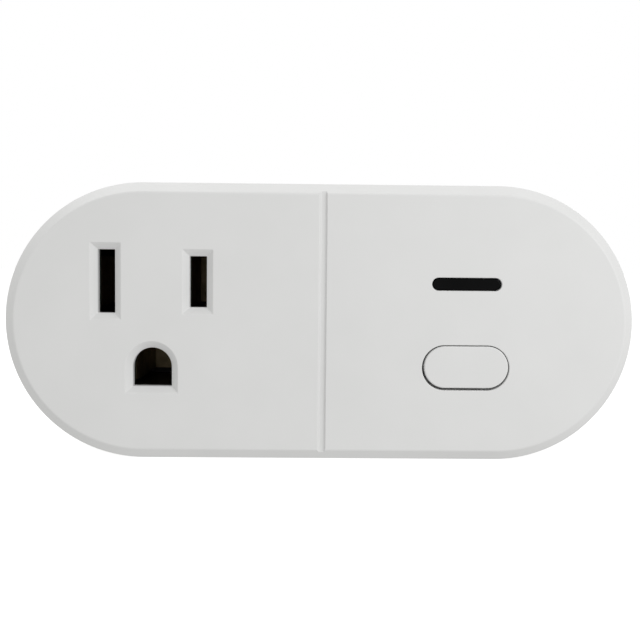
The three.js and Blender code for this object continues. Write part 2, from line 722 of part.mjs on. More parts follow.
function switchBody() {
  const half = SWITCH_SIDE / 2;
  const body = chamferedPrism(rectangle(SWITCH_SIDE, SWITCH_SIDE), -SWITCH_HEIGHT + SEAT, 0, 0.25);
  const leg = (x, z) => block(1.2, 0.7, -0.5, 0, x, z);
  return cut(
    join(body, leg(half + 0.3, 2), leg(half + 0.3, -2), leg(-half - 0.3, 2), leg(-half - 0.3, -2)),
    rod(PLUNGER_RADIUS + 0.15, -SWITCH_HEIGHT - 1, -wellFloor - 0.1),
    rod(PLUNGER_RADIUS + 0.8, -SWITCH_HEIGHT + SWITCH_LID, -wellFloor),
  );
}

function switchDome() {
  const radius = PLUNGER_RADIUS + 0.5;
  const y = -wellFloor - SEAT;
  const shoulder = y - DOME_RISE * 0.8;
  return turned(
    [
      [0, domeTopY],
      [radius * 0.5, shoulder - DOME_THICKNESS],
      [radius, y - DOME_THICKNESS],
      [radius, y],
      [radius * 0.5, shoulder],
      [0, domeTopY + DOME_THICKNESS],
    ],
    16,
  );
}

function switchPlunger() {
  const top = -SWITCH_HEIGHT - PLUNGER_STANDOUT + SEAT;
  const shoulder = -SWITCH_HEIGHT + SWITCH_LID + SEAT;
  const foot = domeTopY - PLUNGER_TRAVEL - 0.05;
  return join(rod(PLUNGER_RADIUS, top, foot - 0.1), rod(PLUNGER_RADIUS + 0.4, shoulder, foot));
}

// ---- parts soldered to the board. Each is made with its foot at y = 0 and stands towards +Y. ----

function chip(length, width, height) {
  return block(length, width, 0, height);
}

function electrolytic(radius, height) {
  const crimp = radius * 0.9;
  return turned(
    [
      [0, 0],
      [radius * 0.94, 0],
      [radius, 0.4],
      [radius, 1.2],
      [crimp, 1.7],
      [radius, 2.2],
      [radius, height - 0.5],
      [radius * 0.92, height],
      [0, height],
    ],
    24,
  );
}

function varistor(radius, thickness) {
  const disc = new THREE.CylinderGeometry(radius, radius, thickness, 24);
  const round = solid(disc.rotateX(Math.PI / 2).translate(0, radius + 1, 0));
  return join(round, block(radius, thickness * 0.5, 0, 2));
}

function drumInductor(radius, height) {
  const winding = radius * 0.82;
  return turned(
    [
      [0, 0],
      [radius, 0],
      [radius, height * 0.16],
      [winding, height * 0.2],
      [winding, height * 0.8],
      [radius, height * 0.84],
      [radius, height],
      [0, height],
    ],
    24,
  );
}

function boxPart(length, width, height, chamfer) {
  return chamferedPrism(rectangle(length, width), 0, height, chamfer);
}

// ---- relay, with its foot at y = 0 ----

const relayZ = -boardRadius + RELAY.edgeGap + RELAY.width / 2;
const relayInnerLength = RELAY.length - 2 * RELAY.wall;
const relayInnerWidth = RELAY.width - 2 * RELAY.wall;
const relayBaseTop = 1.8;
const yokeX = -relayInnerLength / 2 + GAP + 1.1; // centre of the yoke's upright
const YOKE_THICKNESS = 1.2;
const POLE_RADIUS = 3.4;
const RELAY_CORE_RADIUS = 2;
const BOBBIN_SIDE = 9.4;
const BOBBIN_FLANGE = 0.6;
const BOBBIN_BARREL = 2.9;
const ARMATURE_GAP = 0.3; // above the yoke's edge when released
const ARMATURE_THICKNESS = 1.1;
const SPRING_THICKNESS = 0.25;
const RIVET_RADIUS = 1.2;
const RIVET_STANDOUT = 0.7;
const RIVET_INSET = 2.6; // from the case's inner side
const springY = RELAY.height - RELAY.wall - 0.85 - RIVET_STANDOUT; // of the contact spring's lower side
const armatureY = springY - 0.05 - ARMATURE_THICKNESS;
const YOKE_TOP = armatureY - ARMATURE_GAP;
const POLE_TOP = YOKE_TOP - 0.3;
const CORE_X = yokeX + YOKE_THICKNESS / 2 + 2 * GAP + BOBBIN_SIDE / 2;
const RIVET_X = relayInnerLength / 2 - RIVET_INSET;

function relayCase() {
  return cut(
    chamferedPrism(rectangle(RELAY.length, RELAY.width), -1, RELAY.height, 0.5),
    block(2 * RELAY.length, 2 * RELAY.width, -2, SEAT),
    block(relayInnerLength, relayInnerWidth, -1, RELAY.height - RELAY.wall),
  );
}

function relayBase() {
  return block(relayInnerLength - 2 * SEAT, relayInnerWidth - 2 * SEAT, 0.2, relayBaseTop);
}

// The L-shaped iron yoke and the core riveted to its foot.
function relayYoke() {
  const footY = relayBaseTop + GAP;
  const footEnd = CORE_X + POLE_RADIUS;
  const left = yokeX - YOKE_THICKNESS / 2;
  return join(
    block(YOKE_THICKNESS, 9, footY, YOKE_TOP, yokeX, 0),
    block(footEnd - left, 9, footY, footY + YOKE_THICKNESS, (footEnd + left) / 2, 0),
    rod(RELAY_CORE_RADIUS, footY + 0.5, POLE_TOP, CORE_X, 0, 16),
    rod(POLE_RADIUS, POLE_TOP - 0.6, POLE_TOP, CORE_X, 0),
  );
}

const bobbinFoot = relayBaseTop + YOKE_THICKNESS + 2 * GAP;
const bobbinTop = POLE_TOP - 0.6 - GAP;

function relayBobbin() {
  const flange = (y) => block(BOBBIN_SIDE, BOBBIN_SIDE, y, y + BOBBIN_FLANGE, CORE_X, 0);
  return cut(
    join(
      flange(bobbinFoot),
      flange(bobbinTop - BOBBIN_FLANGE),
      rod(BOBBIN_BARREL, bobbinFoot + 0.1, bobbinTop - 0.1, CORE_X, 0),
    ),
    rod(RELAY_CORE_RADIUS + SEAT, 0, RELAY.height, CORE_X, 0, 16),
  );
}

function relayWinding() {
  const y0 = bobbinFoot + BOBBIN_FLANGE + SEAT;
  const y1 = bobbinTop - BOBBIN_FLANGE - SEAT;
  return cut(rod(BOBBIN_SIDE / 2 - 0.2, y0, y1, CORE_X, 0), rod(BOBBIN_BARREL + SEAT, 0, 20, CORE_X, 0));
}

function relayArmature() {
  const left = yokeX - YOKE_THICKNESS / 2;
  const right = CORE_X + POLE_RADIUS + 1;
  return block(right - left, 8.4, armatureY, armatureY + ARMATURE_THICKNESS, (left + right) / 2, 0);
}

// The contact spring on the armature, with its moving contact.
function relayContactSpring() {
  const left = yokeX + 1;
  const right = RIVET_X + RIVET_RADIUS;
  return join(
    block(right - left, 4, springY, springY + SPRING_THICKNESS, (left + right) / 2, 0),
    rod(RIVET_RADIUS, springY - RIVET_STANDOUT, springY + RIVET_STANDOUT, RIVET_X, 0, 16),
  );
}

// The fixed contact on its upright terminal. It stands clear of the moving contact's lowest place.
function relayFixedContact() {
  const drop = 0.85;
  const contactTop = springY - RIVET_STANDOUT - drop;
  const strip = 0.4;
  const right = relayInnerLength / 2 - 0.6;
  const left = RIVET_X - RIVET_RADIUS;
  return join(
    block(strip, 4, relayBaseTop + SEAT, contactTop - strip, right - strip / 2, 0),
    block(right - left, 4, contactTop - 2 * strip, contactTop - strip, (right + left) / 2, 0),
    rod(RIVET_RADIUS, contactTop - 0.9, contactTop, RIVET_X, 0, 16),
  );
}

const relayGroup = new THREE.Group();
relayGroup.position.set(BOARD_LEFT + RELAY.x, boardRearY + SEAT, relayZ);
relayGroup.add(meshOf("relay_case", relayCase(), relayBlue));
relayGroup.add(meshOf("relay_base", relayBase(), chipBlack));
relayGroup.add(meshOf("relay_yoke", relayYoke(), steel));
relayGroup.add(meshOf("relay_bobbin", relayBobbin(), creamPlastic));
relayGroup.add(meshOf("relay_winding", relayWinding(), copper));
relayGroup.add(meshOf("relay_armature", relayArmature(), steel));
relayGroup.add(meshOf("relay_contact_spring", relayContactSpring(), brass));
relayGroup.add(meshOf("relay_fixed_contact", relayFixedContact(), brass));

// ---- radio module: a small board on edge, with its screening can ----

const RADIO = { x: 16.5, length: 18, height: 15, thickness: 0.8, edgeGap: 2.2 };
const radioZ = innerRadius - RADIO.edgeGap;

function radioBoard() {
  return block(RADIO.length, RADIO.thickness, 0, RADIO.height);
}

function radioCan() {
  const side = 11;
  return block(side, 1.6, 1, 1 + side, 0, -RADIO.thickness / 2 - SEAT - 0.8);
}

// ---- board assembly ----

const boardGroup = new THREE.Group();
boardGroup.add(meshOf("main_board", mainBoard(), boardGreen));
boardGroup.add(relayGroup);

const rearSide = boardRearY + SEAT;
const frontSide = boardFrontY - SEAT;
const FILM_WIDTH = 5.2;
const VARISTOR_WIDTH = 3.6;
const FUSE_WIDTH = 4;
const filmZ = relayZ + RELAY.width / 2 + 2 * PART_SPACING + FILM_WIDTH / 2; // one row above the relay
const rowZ = filmZ + FILM_WIDTH / 2 + PART_SPACING; // where the next row begins
const varistorZ = rowZ + VARISTOR_WIDTH / 2;
const fuseZ = rowZ + FUSE_WIDTH / 2;
const boardParts = [
  { name: "film_capacitor", shape: boxPart(13, FILM_WIDTH, 11, 0.5), finish: filmYellow, x: 12.9, z: filmZ },
  { name: "varistor", shape: varistor(4.5, VARISTOR_WIDTH), finish: varistorBlue, x: 11.5, z: varistorZ },
  { name: "fuse", shape: boxPart(8, FUSE_WIDTH, 7.5, 0.4), finish: fuseBrown, x: 20.6, z: fuseZ },
];
for (const { name, shape, finish: material, x, z } of boardParts) {
  boardGroup.add(meshOf(name, shape, material, BOARD_LEFT + x, rearSide, z));
}
const CAPACITOR = { radius: 4, height: 12.5, z: 8.7 };
const INDUCTOR = { radius: 3.4, height: 9, z: 0.2 };
const relayRightX = BOARD_LEFT + RELAY.x + RELAY.length / 2 + PART_SPACING;
[-1, 1].forEach((side, i) => {
  const body = electrolytic(CAPACITOR.radius, CAPACITOR.height);
  const x = relayRightX + CAPACITOR.radius;
  boardGroup.add(meshOf(`bulk_capacitor_${i + 1}`, body, sleeveBlack, x, rearSide, side * CAPACITOR.z));
});
const inductor = drumInductor(INDUCTOR.radius, INDUCTOR.height);
boardGroup.add(meshOf("inductor", inductor, chipBlack, relayRightX + INDUCTOR.radius, rearSide, INDUCTOR.z));
boardGroup.add(meshOf("radio_board", radioBoard(), boardGreen, BOARD_LEFT + RADIO.x, rearSide, radioZ));
boardGroup.add(meshOf("radio_can", radioCan(), nickel, BOARD_LEFT + RADIO.x, rearSide, radioZ));

// Parts on the board's front side stand towards -Y, so they end at the board.
// They stand beside the light bar's shroud and the button's guide.
const besideLight = lightFlangeLength / 2 + GAP + GUIDE_WALL + PART_SPACING;
const besideButton = buttonFlangeLength / 2 + GAP + GUIDE_WALL + PART_SPACING;
const frontParts = [
  { name: "bridge_rectifier", size: [4.8, 4, 2.4], side: -1, beside: besideLight, z: OUTLET_Z },
  { name: "converter_chip", size: [5, 4, 1.6], side: 1, beside: besideLight, z: OUTLET_Z },
  { name: "regulator_chip", size: [4.5, 2.6, 1.5], side: -1, beside: besideButton, z: BUTTON_Z },
];
for (const { name, size: [length, width, height], side, beside, z } of frontParts) {
  const x = controlX + side * (beside + length / 2);
  boardGroup.add(meshOf(name, chip(length, width, height), chipBlack, x, frontSide - height, z));
}
[-1, 1].forEach((side, i) => {
  const height = 0.8;
  const x = controlX + (side * LED_SPACING) / 2;
  const led = chip(2, 1.25, height);
  boardGroup.add(meshOf(`status_led_${i + 1}`, led, ledClear, x, frontSide - height, OUTLET_Z));
});
boardGroup.add(meshOf("switch_body", switchBody(), chipBlack, controlX, switchY, BUTTON_Z));
boardGroup.add(meshOf("switch_dome", switchDome(), steel, controlX, switchY, BUTTON_Z));
boardGroup.add(meshOf("switch_plunger", switchPlunger(), chipBlack, controlX, switchY, BUTTON_Z));
boardPosts.forEach(({ x, z }, i) => {
  boardGroup.add(meshOf(`board_screw_${i + 1}`, caseScrew(BOARD_SCREW), steel, x, boardRearY + SEAT, z));
});

const controlGroup = new THREE.Group();
controlGroup.add(meshOf("button_cap", buttonCap(), shellPlastic, controlX, 0, BUTTON_Z));
controlGroup.add(meshOf("light_bar", lightBar(), smokedPlastic, controlX, 0, OUTLET_Z));

// ---- leads between the outlet and the board ----

function lead(points) {
  const path = new THREE.CatmullRomCurve3(points.map(([x, y, z]) => new THREE.Vector3(x, y, z)));
  const section = new THREE.Shape();
  section.absarc(0, 0, LEAD_RADIUS, 0, 2 * Math.PI, false);
  return solid(new THREE.ExtrudeGeometry(section, { steps: 20, curveSegments: 5, extrudePath: path }));
}

const padX = BOARD_LEFT + PAD_X;
const lineInZ = caseBosses[2].z - rearBossRadius - GAP - LEAD_RADIUS; // just clear of the upper boss
const lineOutZ = lineInZ - PAD_PITCH;
const neutralZ = lineOutZ - PAD_PITCH;
const linkY = carrierFrontY - GAP - LEAD_RADIUS; // the leads run past the blades' roots, under the carrier
const rootEdge = ROOT_WIDTH / 2 + GAP + LEAD_RADIUS;
const runZ = OUTLET_Z - rootEdge - 1.4; // the neutral lead's run, below the line blade's root
const tabEndX = coreRightX + CONTACT_TAB_STANDOUT + GAP;
const tabY = contactBaseY + LEAF / 2;

// The last stretch of each lead: over to the board's rear side, then down onto its pad.
const toPad = (z) => [
  [padX - 3, boardRearY + 5.2, z],
  [padX, boardRearY + 2.6, z],
  [padX, boardRearY + GAP, z],
];
const lineInLead = lead([
  [lineSlot.x + BLADE_THICKNESS / 2 + GAP, linkY, OUTLET_Z + 1],
  [lineSlot.x + 2.6, linkY, OUTLET_Z + 1.3],
  [coreRightX + 0.8, linkY - 0.2, OUTLET_Z + 2.3],
  [coreRightX + 4, linkY - 1.8, lineInZ],
  ...toPad(lineInZ),
]);
const lineOutLead = lead([
  [tabEndX, tabY, OUTLET_Z],
  [tabEndX + 3, tabY, OUTLET_Z - 0.3],
  ...toPad(lineOutZ),
]);
const neutralLead = lead([
  [neutralSlot.x, linkY, OUTLET_Z - rootEdge],
  [neutralSlot.x + 1.6, linkY, runZ],
  [outletX, linkY, runZ],
  [coreRightX - 1.5, linkY, runZ],
  [coreRightX + 0.8, linkY - 0.2, runZ],
  [coreRightX + 4, linkY - 1.8, (runZ + neutralZ) / 2],
  ...toPad(neutralZ),
]);

const leadGroup = new THREE.Group();
leadGroup.add(meshOf("line_in_lead", lineInLead, wireBlack));
leadGroup.add(meshOf("line_out_lead", lineOutLead, wireRed));
leadGroup.add(meshOf("neutral_lead", neutralLead, wireWhite));

const smartPlug = new THREE.Group();
const caseFrame = new THREE.Group();
caseFrame.position.set(-outletX, 0, -OUTLET_Z);
caseFrame.add(caseGroup, outletGroup, controlGroup, boardGroup, leadGroup);
smartPlug.add(caseFrame);

export default smartPlug;
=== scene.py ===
import json
import math

import bmesh
import bpy
from mathutils import Matrix, Vector

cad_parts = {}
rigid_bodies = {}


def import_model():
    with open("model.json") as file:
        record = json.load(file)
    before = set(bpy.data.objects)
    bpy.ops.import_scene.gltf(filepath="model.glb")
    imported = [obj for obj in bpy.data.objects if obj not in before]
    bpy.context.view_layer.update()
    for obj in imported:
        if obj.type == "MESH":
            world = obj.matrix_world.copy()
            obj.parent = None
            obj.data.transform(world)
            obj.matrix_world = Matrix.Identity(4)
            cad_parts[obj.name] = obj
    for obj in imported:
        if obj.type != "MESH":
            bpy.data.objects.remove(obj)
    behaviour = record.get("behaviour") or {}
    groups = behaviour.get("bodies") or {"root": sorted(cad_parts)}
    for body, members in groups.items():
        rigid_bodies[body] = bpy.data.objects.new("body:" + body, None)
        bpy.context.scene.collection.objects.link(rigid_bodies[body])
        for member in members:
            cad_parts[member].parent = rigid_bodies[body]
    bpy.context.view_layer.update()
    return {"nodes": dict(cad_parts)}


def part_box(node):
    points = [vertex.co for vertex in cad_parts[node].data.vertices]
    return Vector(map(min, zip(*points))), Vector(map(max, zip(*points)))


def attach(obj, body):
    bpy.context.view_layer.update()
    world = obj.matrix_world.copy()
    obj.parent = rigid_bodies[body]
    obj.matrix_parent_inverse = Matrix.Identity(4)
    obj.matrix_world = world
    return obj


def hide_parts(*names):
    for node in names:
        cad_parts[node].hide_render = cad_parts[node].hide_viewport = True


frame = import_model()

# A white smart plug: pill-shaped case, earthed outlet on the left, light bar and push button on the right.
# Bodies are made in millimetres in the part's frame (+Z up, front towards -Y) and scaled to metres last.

MM = 0.001


# ---- places, from the frame ----

def box_of(node):
    """Lowest corner, highest corner and centre of a CAD node, in millimetres."""
    low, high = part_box(node)
    return low / MM, high / MM, (low + high) / (2 * MM)


front_low, front_high, case_centre = box_of("front_cover")
rear_low, rear_high, _ = box_of("rear_cover")
case_length = front_high.x - front_low.x
case_height = front_high.z - front_low.z
front_y = front_low.y
rear_y = rear_high.y
front_end_y = front_high.y  # where the front cover ends at the seam
lip_end_y = rear_low.y

# Sizes that a box can't give, in millimetres.
SIDE_WALL = 2.0
FACE_WALL = 2.2
EDGE_CHAMFER = 1.4
GAP = 0.3
SLIDE_GAP = 0.22
LIP_THICKNESS = 0.7
GROOVE_X = 0.2  # from the case's centre
GROOVE_WIDTH = 1.3
GROOVE_DEPTH = 0.35
SLOT_WIDTH = 2.38
SLOT_HEIGHTS = {"neutral": 8.8, "line": 7.1}
SLOT_BEVEL = 0.95
EARTH_HOLE_RADIUS = 2.7
FLANGE_OF_BUTTON = 0.7
FLANGE_OF_LIGHT = 0.8
BUTTON_STEM_RADIUS = 2.0
BUTTON_WALL = 1.2
LIGHT_INSET = 0.12  # gap round the light window
LIGHT_LEG_RADIUS = 1.0
PIN_RADIUS = 2.38
PIN_FLANGE = 1.2
BLADE_SHOULDER = 1.2
SHOULDER_DEPTH = 1.3  # of the blades' shoulders and the pin's flange
BLADE_ROOT = 2.5  # half the root's width
BLADE_TIP = 1.3
BLADE_HOLE_RADIUS = 1.6
BLADE_HOLE_Y = 11.7
CARRIER_THICKNESS = 3.0
CORE_CORNER = 2.0
BOBBIN_RADIUS = 3.05

# Walls and bosses inside the covers.
GUIDE_WALL = 1.0
CORE_GUIDE_HEIGHT = 3.0
BUTTON_GUIDE_HEIGHT = 3.2
LIGHT_SHROUD_HEIGHT = 5.6
FRONT_BOSS_RADIUS = 2.8
REAR_BOSS_RADIUS = 3.5
POST_RADIUS = 2.4
BOARD_GAP = 0.1  # between a post and the board
PILOT_RADIUS = 1.3
PILOT_FLOOR = 3.0  # solid material in front of a case screw's pilot hole
BOARD_PILOT_RADIUS = 1.0
BOARD_PILOT_FLOOR = 0.5
SCREW_SHANK_RADIUS = 1.1
SCREW_RECESS_RADIUS = 2.5
SCREW_RECESS_DEPTH = 5.5
BOSS_SEAT = 1.6  # thickness that a case screw's head clamps
BOSS_BORE_RADIUS = 2.1  # in front of that seat
WELD = 0.1  # how far a boss or guide runs into the wall that it stands on

# Radius, head radius, head height and thread pitch.
CASE_SCREW = (SCREW_SHANK_RADIUS, 2.1, 1.6, 1.0)
BOARD_SCREW = (0.9, 1.9, 1.2, 0.8)

# Details that only this model has.
CHAMFER_OUTER_ROUNDING = 0.2  # between side and chamfer
CHAMFER_INNER_ROUNDING = 0.5  # between chamfer and face
SEAM_ROUNDING = 0.18
LIP_ROUNDING = 0.1
INNER_FILLET = 0.6
BOSS_ROUNDING = 0.15
OPENING_ROUNDING = 0.14
BEVEL_ROUNDING = 0.2
REAR_OPENING_ROUNDING = 0.2
RECESS_ROUNDING = 0.25
BUTTON_ROUNDING = 0.2
LIGHT_ROUNDING = 0.18
BLADE_ROUNDING = 0.22
OVERRUN = 0.004  # how far a rounded cutter stands out of the face
BUTTON_LEAN = (0.08, 0, 0.1)  # the cap lies to one side of its clearance
LABEL_HEIGHT = 25.0  # shallow rectangle in the rear face, left blank
LABEL_DEPTH = 0.15
LABEL_CORNER = 1.6
LABEL_MARGIN = 6.0  # from the screws' centres
LABEL_ROUNDING = 0.08

front_inner_y = front_y + FACE_WALL
rear_inner_y = rear_y - FACE_WALL
rear_end_y = front_end_y + GAP  # where the rear cover ends at the seam
board_front_y = box_of("main_board")[0].y
core_low, core_high, core_centre = box_of("outlet_core")
carrier_front_y = box_of("blade_carrier")[1].y - CARRIER_THICKNESS
blade_places = {name: box_of(f"{name}_blade")[2] for name in SLOT_HEIGHTS}
pin_low, pin_high, pin_centre = box_of("earth_pin")
screw_places = [box_of(f"case_screw_{i}")[2] for i in range(1, 5)]
post_places = [box_of(f"board_screw_{i}")[2] for i in range(1, 3)]
button_low, button_high, button_centre = box_of("button_cap")
light_low, light_high, light_centre = box_of("light_bar")


# ---- outlines, with u across and v up the face; each takes an offset outwards ----

def arc(u, v, radius, start, end, steps):
    """Points of an arc from one angle to another, in degrees."""
    angles = [math.radians(start + (end - start) * i / steps) for i in range(steps + 1)]
    return [(u + radius * math.cos(a), v + radius * math.sin(a)) for a in angles]


def stadium(length, height, steps=24):
    half = (length - height) / 2

    def outline(offset):
        radius = height / 2 + offset
        return arc(half, 0, radius, -90, 90, steps) + arc(-half, 0, radius, 90, 270, steps)
    return outline


def outline_of(low, high, inset=0.0, steps=24):
    """The stadium between a box's corners, set in by a distance."""
    return stadium(high.x - low.x - 2 * inset, high.z - low.z - 2 * inset, steps)


def rectangle(width, height, corner=0.12, steps=3):
    def outline(offset):
        w = width / 2 + offset - corner
        h = height / 2 + offset - corner
        return (arc(w, -h, corner, -90, 0, steps) + arc(w, h, corner, 0, 90, steps)
                + arc(-w, h, corner, 90, 180, steps) + arc(-w, -h, corner, 180, 270, steps))
    return outline


def circle(radius, steps=48):
    def outline(offset):
        return arc(0, 0, radius + offset, 0, 360 - 360 / steps, steps - 1)
    return outline


def arch(radius, corner=0.12):
    """The earth hole: a round top on a square foot."""
    def outline(offset):
        r = radius + offset
        foot = -r + corner
        return (arc(0, 0, r, 0, 180, 32) + arc(foot, foot, corner, 180, 270, 3)
                + arc(-foot, foot, corner, 270, 360, 3))
    return outline


case_outline = stadium(case_length, case_height, 72)
core_outline = rectangle(core_high.x - core_low.x, core_high.z - core_low.z, CORE_CORNER, 6)


def rounded(corners, steps=4):
    """An open profile from (u, v, radius) corners, each inner one rounded by an arc."""
    points = [tuple(corners[0][:2])]
    for before, (u, v, radius), after in zip(corners, corners[1:], corners[2:]):
        corner = Vector((u, v))
        if radius == 0:
            points.append((u, v))
            continue
        back = (Vector(before[:2]) - corner).normalized()
        ahead = (Vector(after[:2]) - corner).normalized()
        half = back.angle(ahead) / 2
        centre = corner + (back + ahead).normalized() * (radius / math.sin(half))
        start = (corner + back * (radius / math.tan(half)) - centre) / radius
        end = (corner + ahead * (radius / math.tan(half)) - centre) / radius
        turn = math.pi - 2 * half
        across = (end - start * math.cos(turn)) / math.sin(turn)
        for i in range(steps + 1):
            t = turn * i / steps
            points.append(tuple(centre + (start * math.cos(t) + across * math.sin(t)) * radius))
    return points + [tuple(corners[-1][:2])]


# ---- closed bodies ----

def mesh_of(body):
    """A bmesh as a mesh whose faces point out."""
    bmesh.ops.remove_doubles(body, verts=body.verts, dist=1e-5)
    bmesh.ops.recalc_face_normals(body, faces=body.faces)
    mesh = bpy.data.meshes.new("body")
    body.to_mesh(mesh)
    body.free()
    return mesh


def skin(rings, closed=False):
    """A body through rings of points: capped at both ends, or joined round if closed."""
    body = bmesh.new()
    loops = [[body.verts.new(point) for point in ring] for ring in rings]
    pairs = list(zip(loops, loops[1:]))
    if closed:
        pairs.append((loops[-1], loops[0]))
    for loop, following in pairs:
        for i in range(len(loop)):
            j = (i + 1) % len(loop)
            body.faces.new((loop[i], loop[j], following[j], following[i]))
    if not closed:
        body.faces.new(loops[0])
        body.faces.new(loops[-1])
    return mesh_of(body)


def sweep(outline, profile, x=0.0, z=0.0, closed=False):
    """A body along Y: the outline at each (offset, y) of the profile, with its origin at (x, z)."""
    return skin([[(x + u, y, z + v) for u, v in outline(offset)] for offset, y in profile], closed)


def rod(radius, y0, y1, place, steps=40, edge=0.0):
    """A round rod along Y, with the edge of its far end rounded if a radius is given for it."""
    profile = rounded([(0, y0, 0), (0, y1, edge), (-radius * 0.5, y1, 0)]) if edge else [(0, y0), (0, y1)]
    return sweep(circle(radius, steps), profile, place.x, place.z)


def collar(outline, inner, outer, y0, y1, place):
    """A low wall round an outline, from one offset to another, with its free edges rounded."""
    edge = 0.12
    profile = rounded([
        (outer, y0, 0),
        (outer, y1, edge),
        (inner, y1, edge),
        (inner, y0, 0),
    ], 2)
    return sweep(outline, profile, place.x, place.z, closed=True)


def combined(base, others, operation):
    """A closed mesh joined with (UNION) or cut by (DIFFERENCE) other closed meshes."""
    scene = bpy.context.scene.collection
    target = bpy.data.objects.new("target", base)
    scene.objects.link(target)
    operands = bpy.data.collections.new("operands")
    scene.children.link(operands)
    for other in others:
        operands.objects.link(bpy.data.objects.new("operand", other))
    modifier = target.modifiers.new("combine", "BOOLEAN")
    modifier.operation = operation
    modifier.solver = "MANIFOLD"
    modifier.operand_type = "COLLECTION"
    modifier.collection = operands
    graph = bpy.context.evaluated_depsgraph_get()
    made = bpy.data.meshes.new_from_object(target.evaluated_get(graph))
    for helper in list(operands.objects) + [target]:
        bpy.data.objects.remove(helper)
    bpy.data.collections.remove(operands)
    return made


def joined(base, *others):
    return combined(base, others, "UNION")


def cut(base, *others):
    return combined(base, others, "DIFFERENCE")


# ---- finishes ----

class Finish:
    """A procedural material under construction: helpers that add nodes and join them."""

    def __init__(self, name):
        self.material = bpy.data.materials.new(name)
        self.material.use_nodes = True
        self.nodes = self.material.node_tree.nodes
        self.links = self.material.node_tree.links
        self.surface = self.nodes["Principled BSDF"]
        self.place = self.nodes.new("ShaderNodeTexCoord").outputs["Object"]

    def add(self, kind, inputs=None, **settings):
        node = self.nodes.new(kind)
        for key, value in settings.items():
            setattr(node, key, value)
        for key, value in (inputs or {}).items():
            if isinstance(value, bpy.types.NodeSocket):
                self.links.new(value, node.inputs[key])
            else:
                node.inputs[key].default_value = value
        return node

    def stretched(self, stretch):
        """Coordinates squeezed by a factor along each axis, for a pattern that runs one way."""
        return self.add("ShaderNodeMapping", {"Vector": self.place, "Scale": stretch}).outputs["Vector"]

    def noise(self, size, detail=3.0, stretch=None):
        """Noise from 0 to 1 whose features are about size millimetres across."""
        where = self.stretched(stretch) if stretch else self.place
        inputs = {"Vector": where, "Scale": 1 / (size * MM), "Detail": detail, "Roughness": 0.55}
        return self.add("ShaderNodeTexNoise", inputs).outputs["Fac"]

    def levels(self, value, low, high, from_low=0.3, from_high=0.7):
        inputs = {"Value": value, "From Min": from_low, "From Max": from_high, "To Min": low, "To Max": high}
        return self.add("ShaderNodeMapRange", inputs).outputs["Result"]

    def mixed(self, factor, first, second):
        node = self.add("ShaderNodeMix", data_type="RGBA")
        self.links.new(factor, node.inputs["Factor"])
        for slot, colour in (("A", first), ("B", second)):
            socket = [s for s in node.inputs if s.name == slot and s.type == "RGBA"][0]
            if isinstance(colour, bpy.types.NodeSocket):
                self.links.new(colour, socket)
            else:
                socket.default_value = (*colour, 1)
        return [s for s in node.outputs if s.type == "RGBA"][0]

    def colour(self, socket):
        self.links.new(socket, self.surface.inputs["Base Color"])

    def roughness(self, socket):
        self.links.new(socket, self.surface.inputs["Roughness"])

    def relief(self, heights):
        """Bump from (height socket, depth in millimetres) pairs, one on another."""
        normal = None
        for height, depth in heights:
            inputs = {"Height": height, "Distance": depth * MM, "Strength": 1.0}
            if normal:
                inputs["Normal"] = normal
            normal = self.add("ShaderNodeBump", inputs).outputs["Normal"]
        self.links.new(normal, self.surface.inputs["Normal"])


# Sizes of the finishes' patterns, in millimetres.
MOULDING_CLOUDS = 9.0
TARNISH_CLOUDS = 1.6
TRACK_SPACING = 2.6
PAD_SPACING = 3.4
# spacing of the copper's bands of painted shade and painted highlight
TURN_SHADE_BAND = 0.9


def plastic(name, shades, roughness, grain, depth):
    """Moulded plastic: fine eroded grain, slow changes of shade and of gloss."""
    finish = Finish(name)
    slow = finish.noise(MOULDING_CLOUDS, 2.0)
    fine = finish.noise(grain, 2.0)
    finish.colour(finish.mixed(finish.levels(slow, 0, 1), *shades))
    finish.roughness(finish.levels(fine, *roughness))
    finish.relief([(slow, depth * 2), (fine, depth)])
    finish.surface.inputs["Specular IOR Level"].default_value = SPECULAR_LEVELS.get(name, 0.5)
    return finish.material


def metal(name, shades, roughness, stretch, line):
    """Rolled or turned metal: fine lines that run one way, and faint clouds of tarnish."""
    finish = Finish(name)
    depth = 0.0015
    lines = finish.noise(line, 2.0, stretch)
    cloud = finish.noise(TARNISH_CLOUDS, 4.0)
    finish.colour(finish.mixed(finish.levels(cloud, 0, 1), *shades))
    finish.roughness(finish.levels(lines, *roughness))
    finish.relief([(cloud, depth), (lines, depth)])
    finish.surface.inputs["Metallic"].default_value = 1.0
    return finish.material


def circuit_board():
    """Green solder mask over straight copper tracks, with bare pads."""
    finish = Finish("circuit_board")
    cells = finish.add(
        "ShaderNodeTexVoronoi", {"Vector": finish.place, "Scale": 1 / (TRACK_SPACING * MM)},
        distance="CHEBYCHEV",
    )
    tracks = finish.levels(cells.outputs["Distance"], 0, 1, 0.42, 0.46)
    pads = finish.add("ShaderNodeTexVoronoi", {"Vector": finish.place, "Scale": 1 / (PAD_SPACING * MM)})
    pad = finish.levels(pads.outputs["Distance"], 1, 0, 0.10, 0.13)
    mask = finish.mixed(tracks, (0.008, 0.085, 0.03), (0.014, 0.14, 0.05))
    finish.colour(finish.mixed(pad, mask, (0.55, 0.52, 0.45)))
    finish.roughness(finish.levels(finish.noise(0.4), 0.28, 0.42))
    finish.relief([(tracks, 0.03), (pad, 0.02), (finish.noise(0.3), 0.004)])
    return finish.material


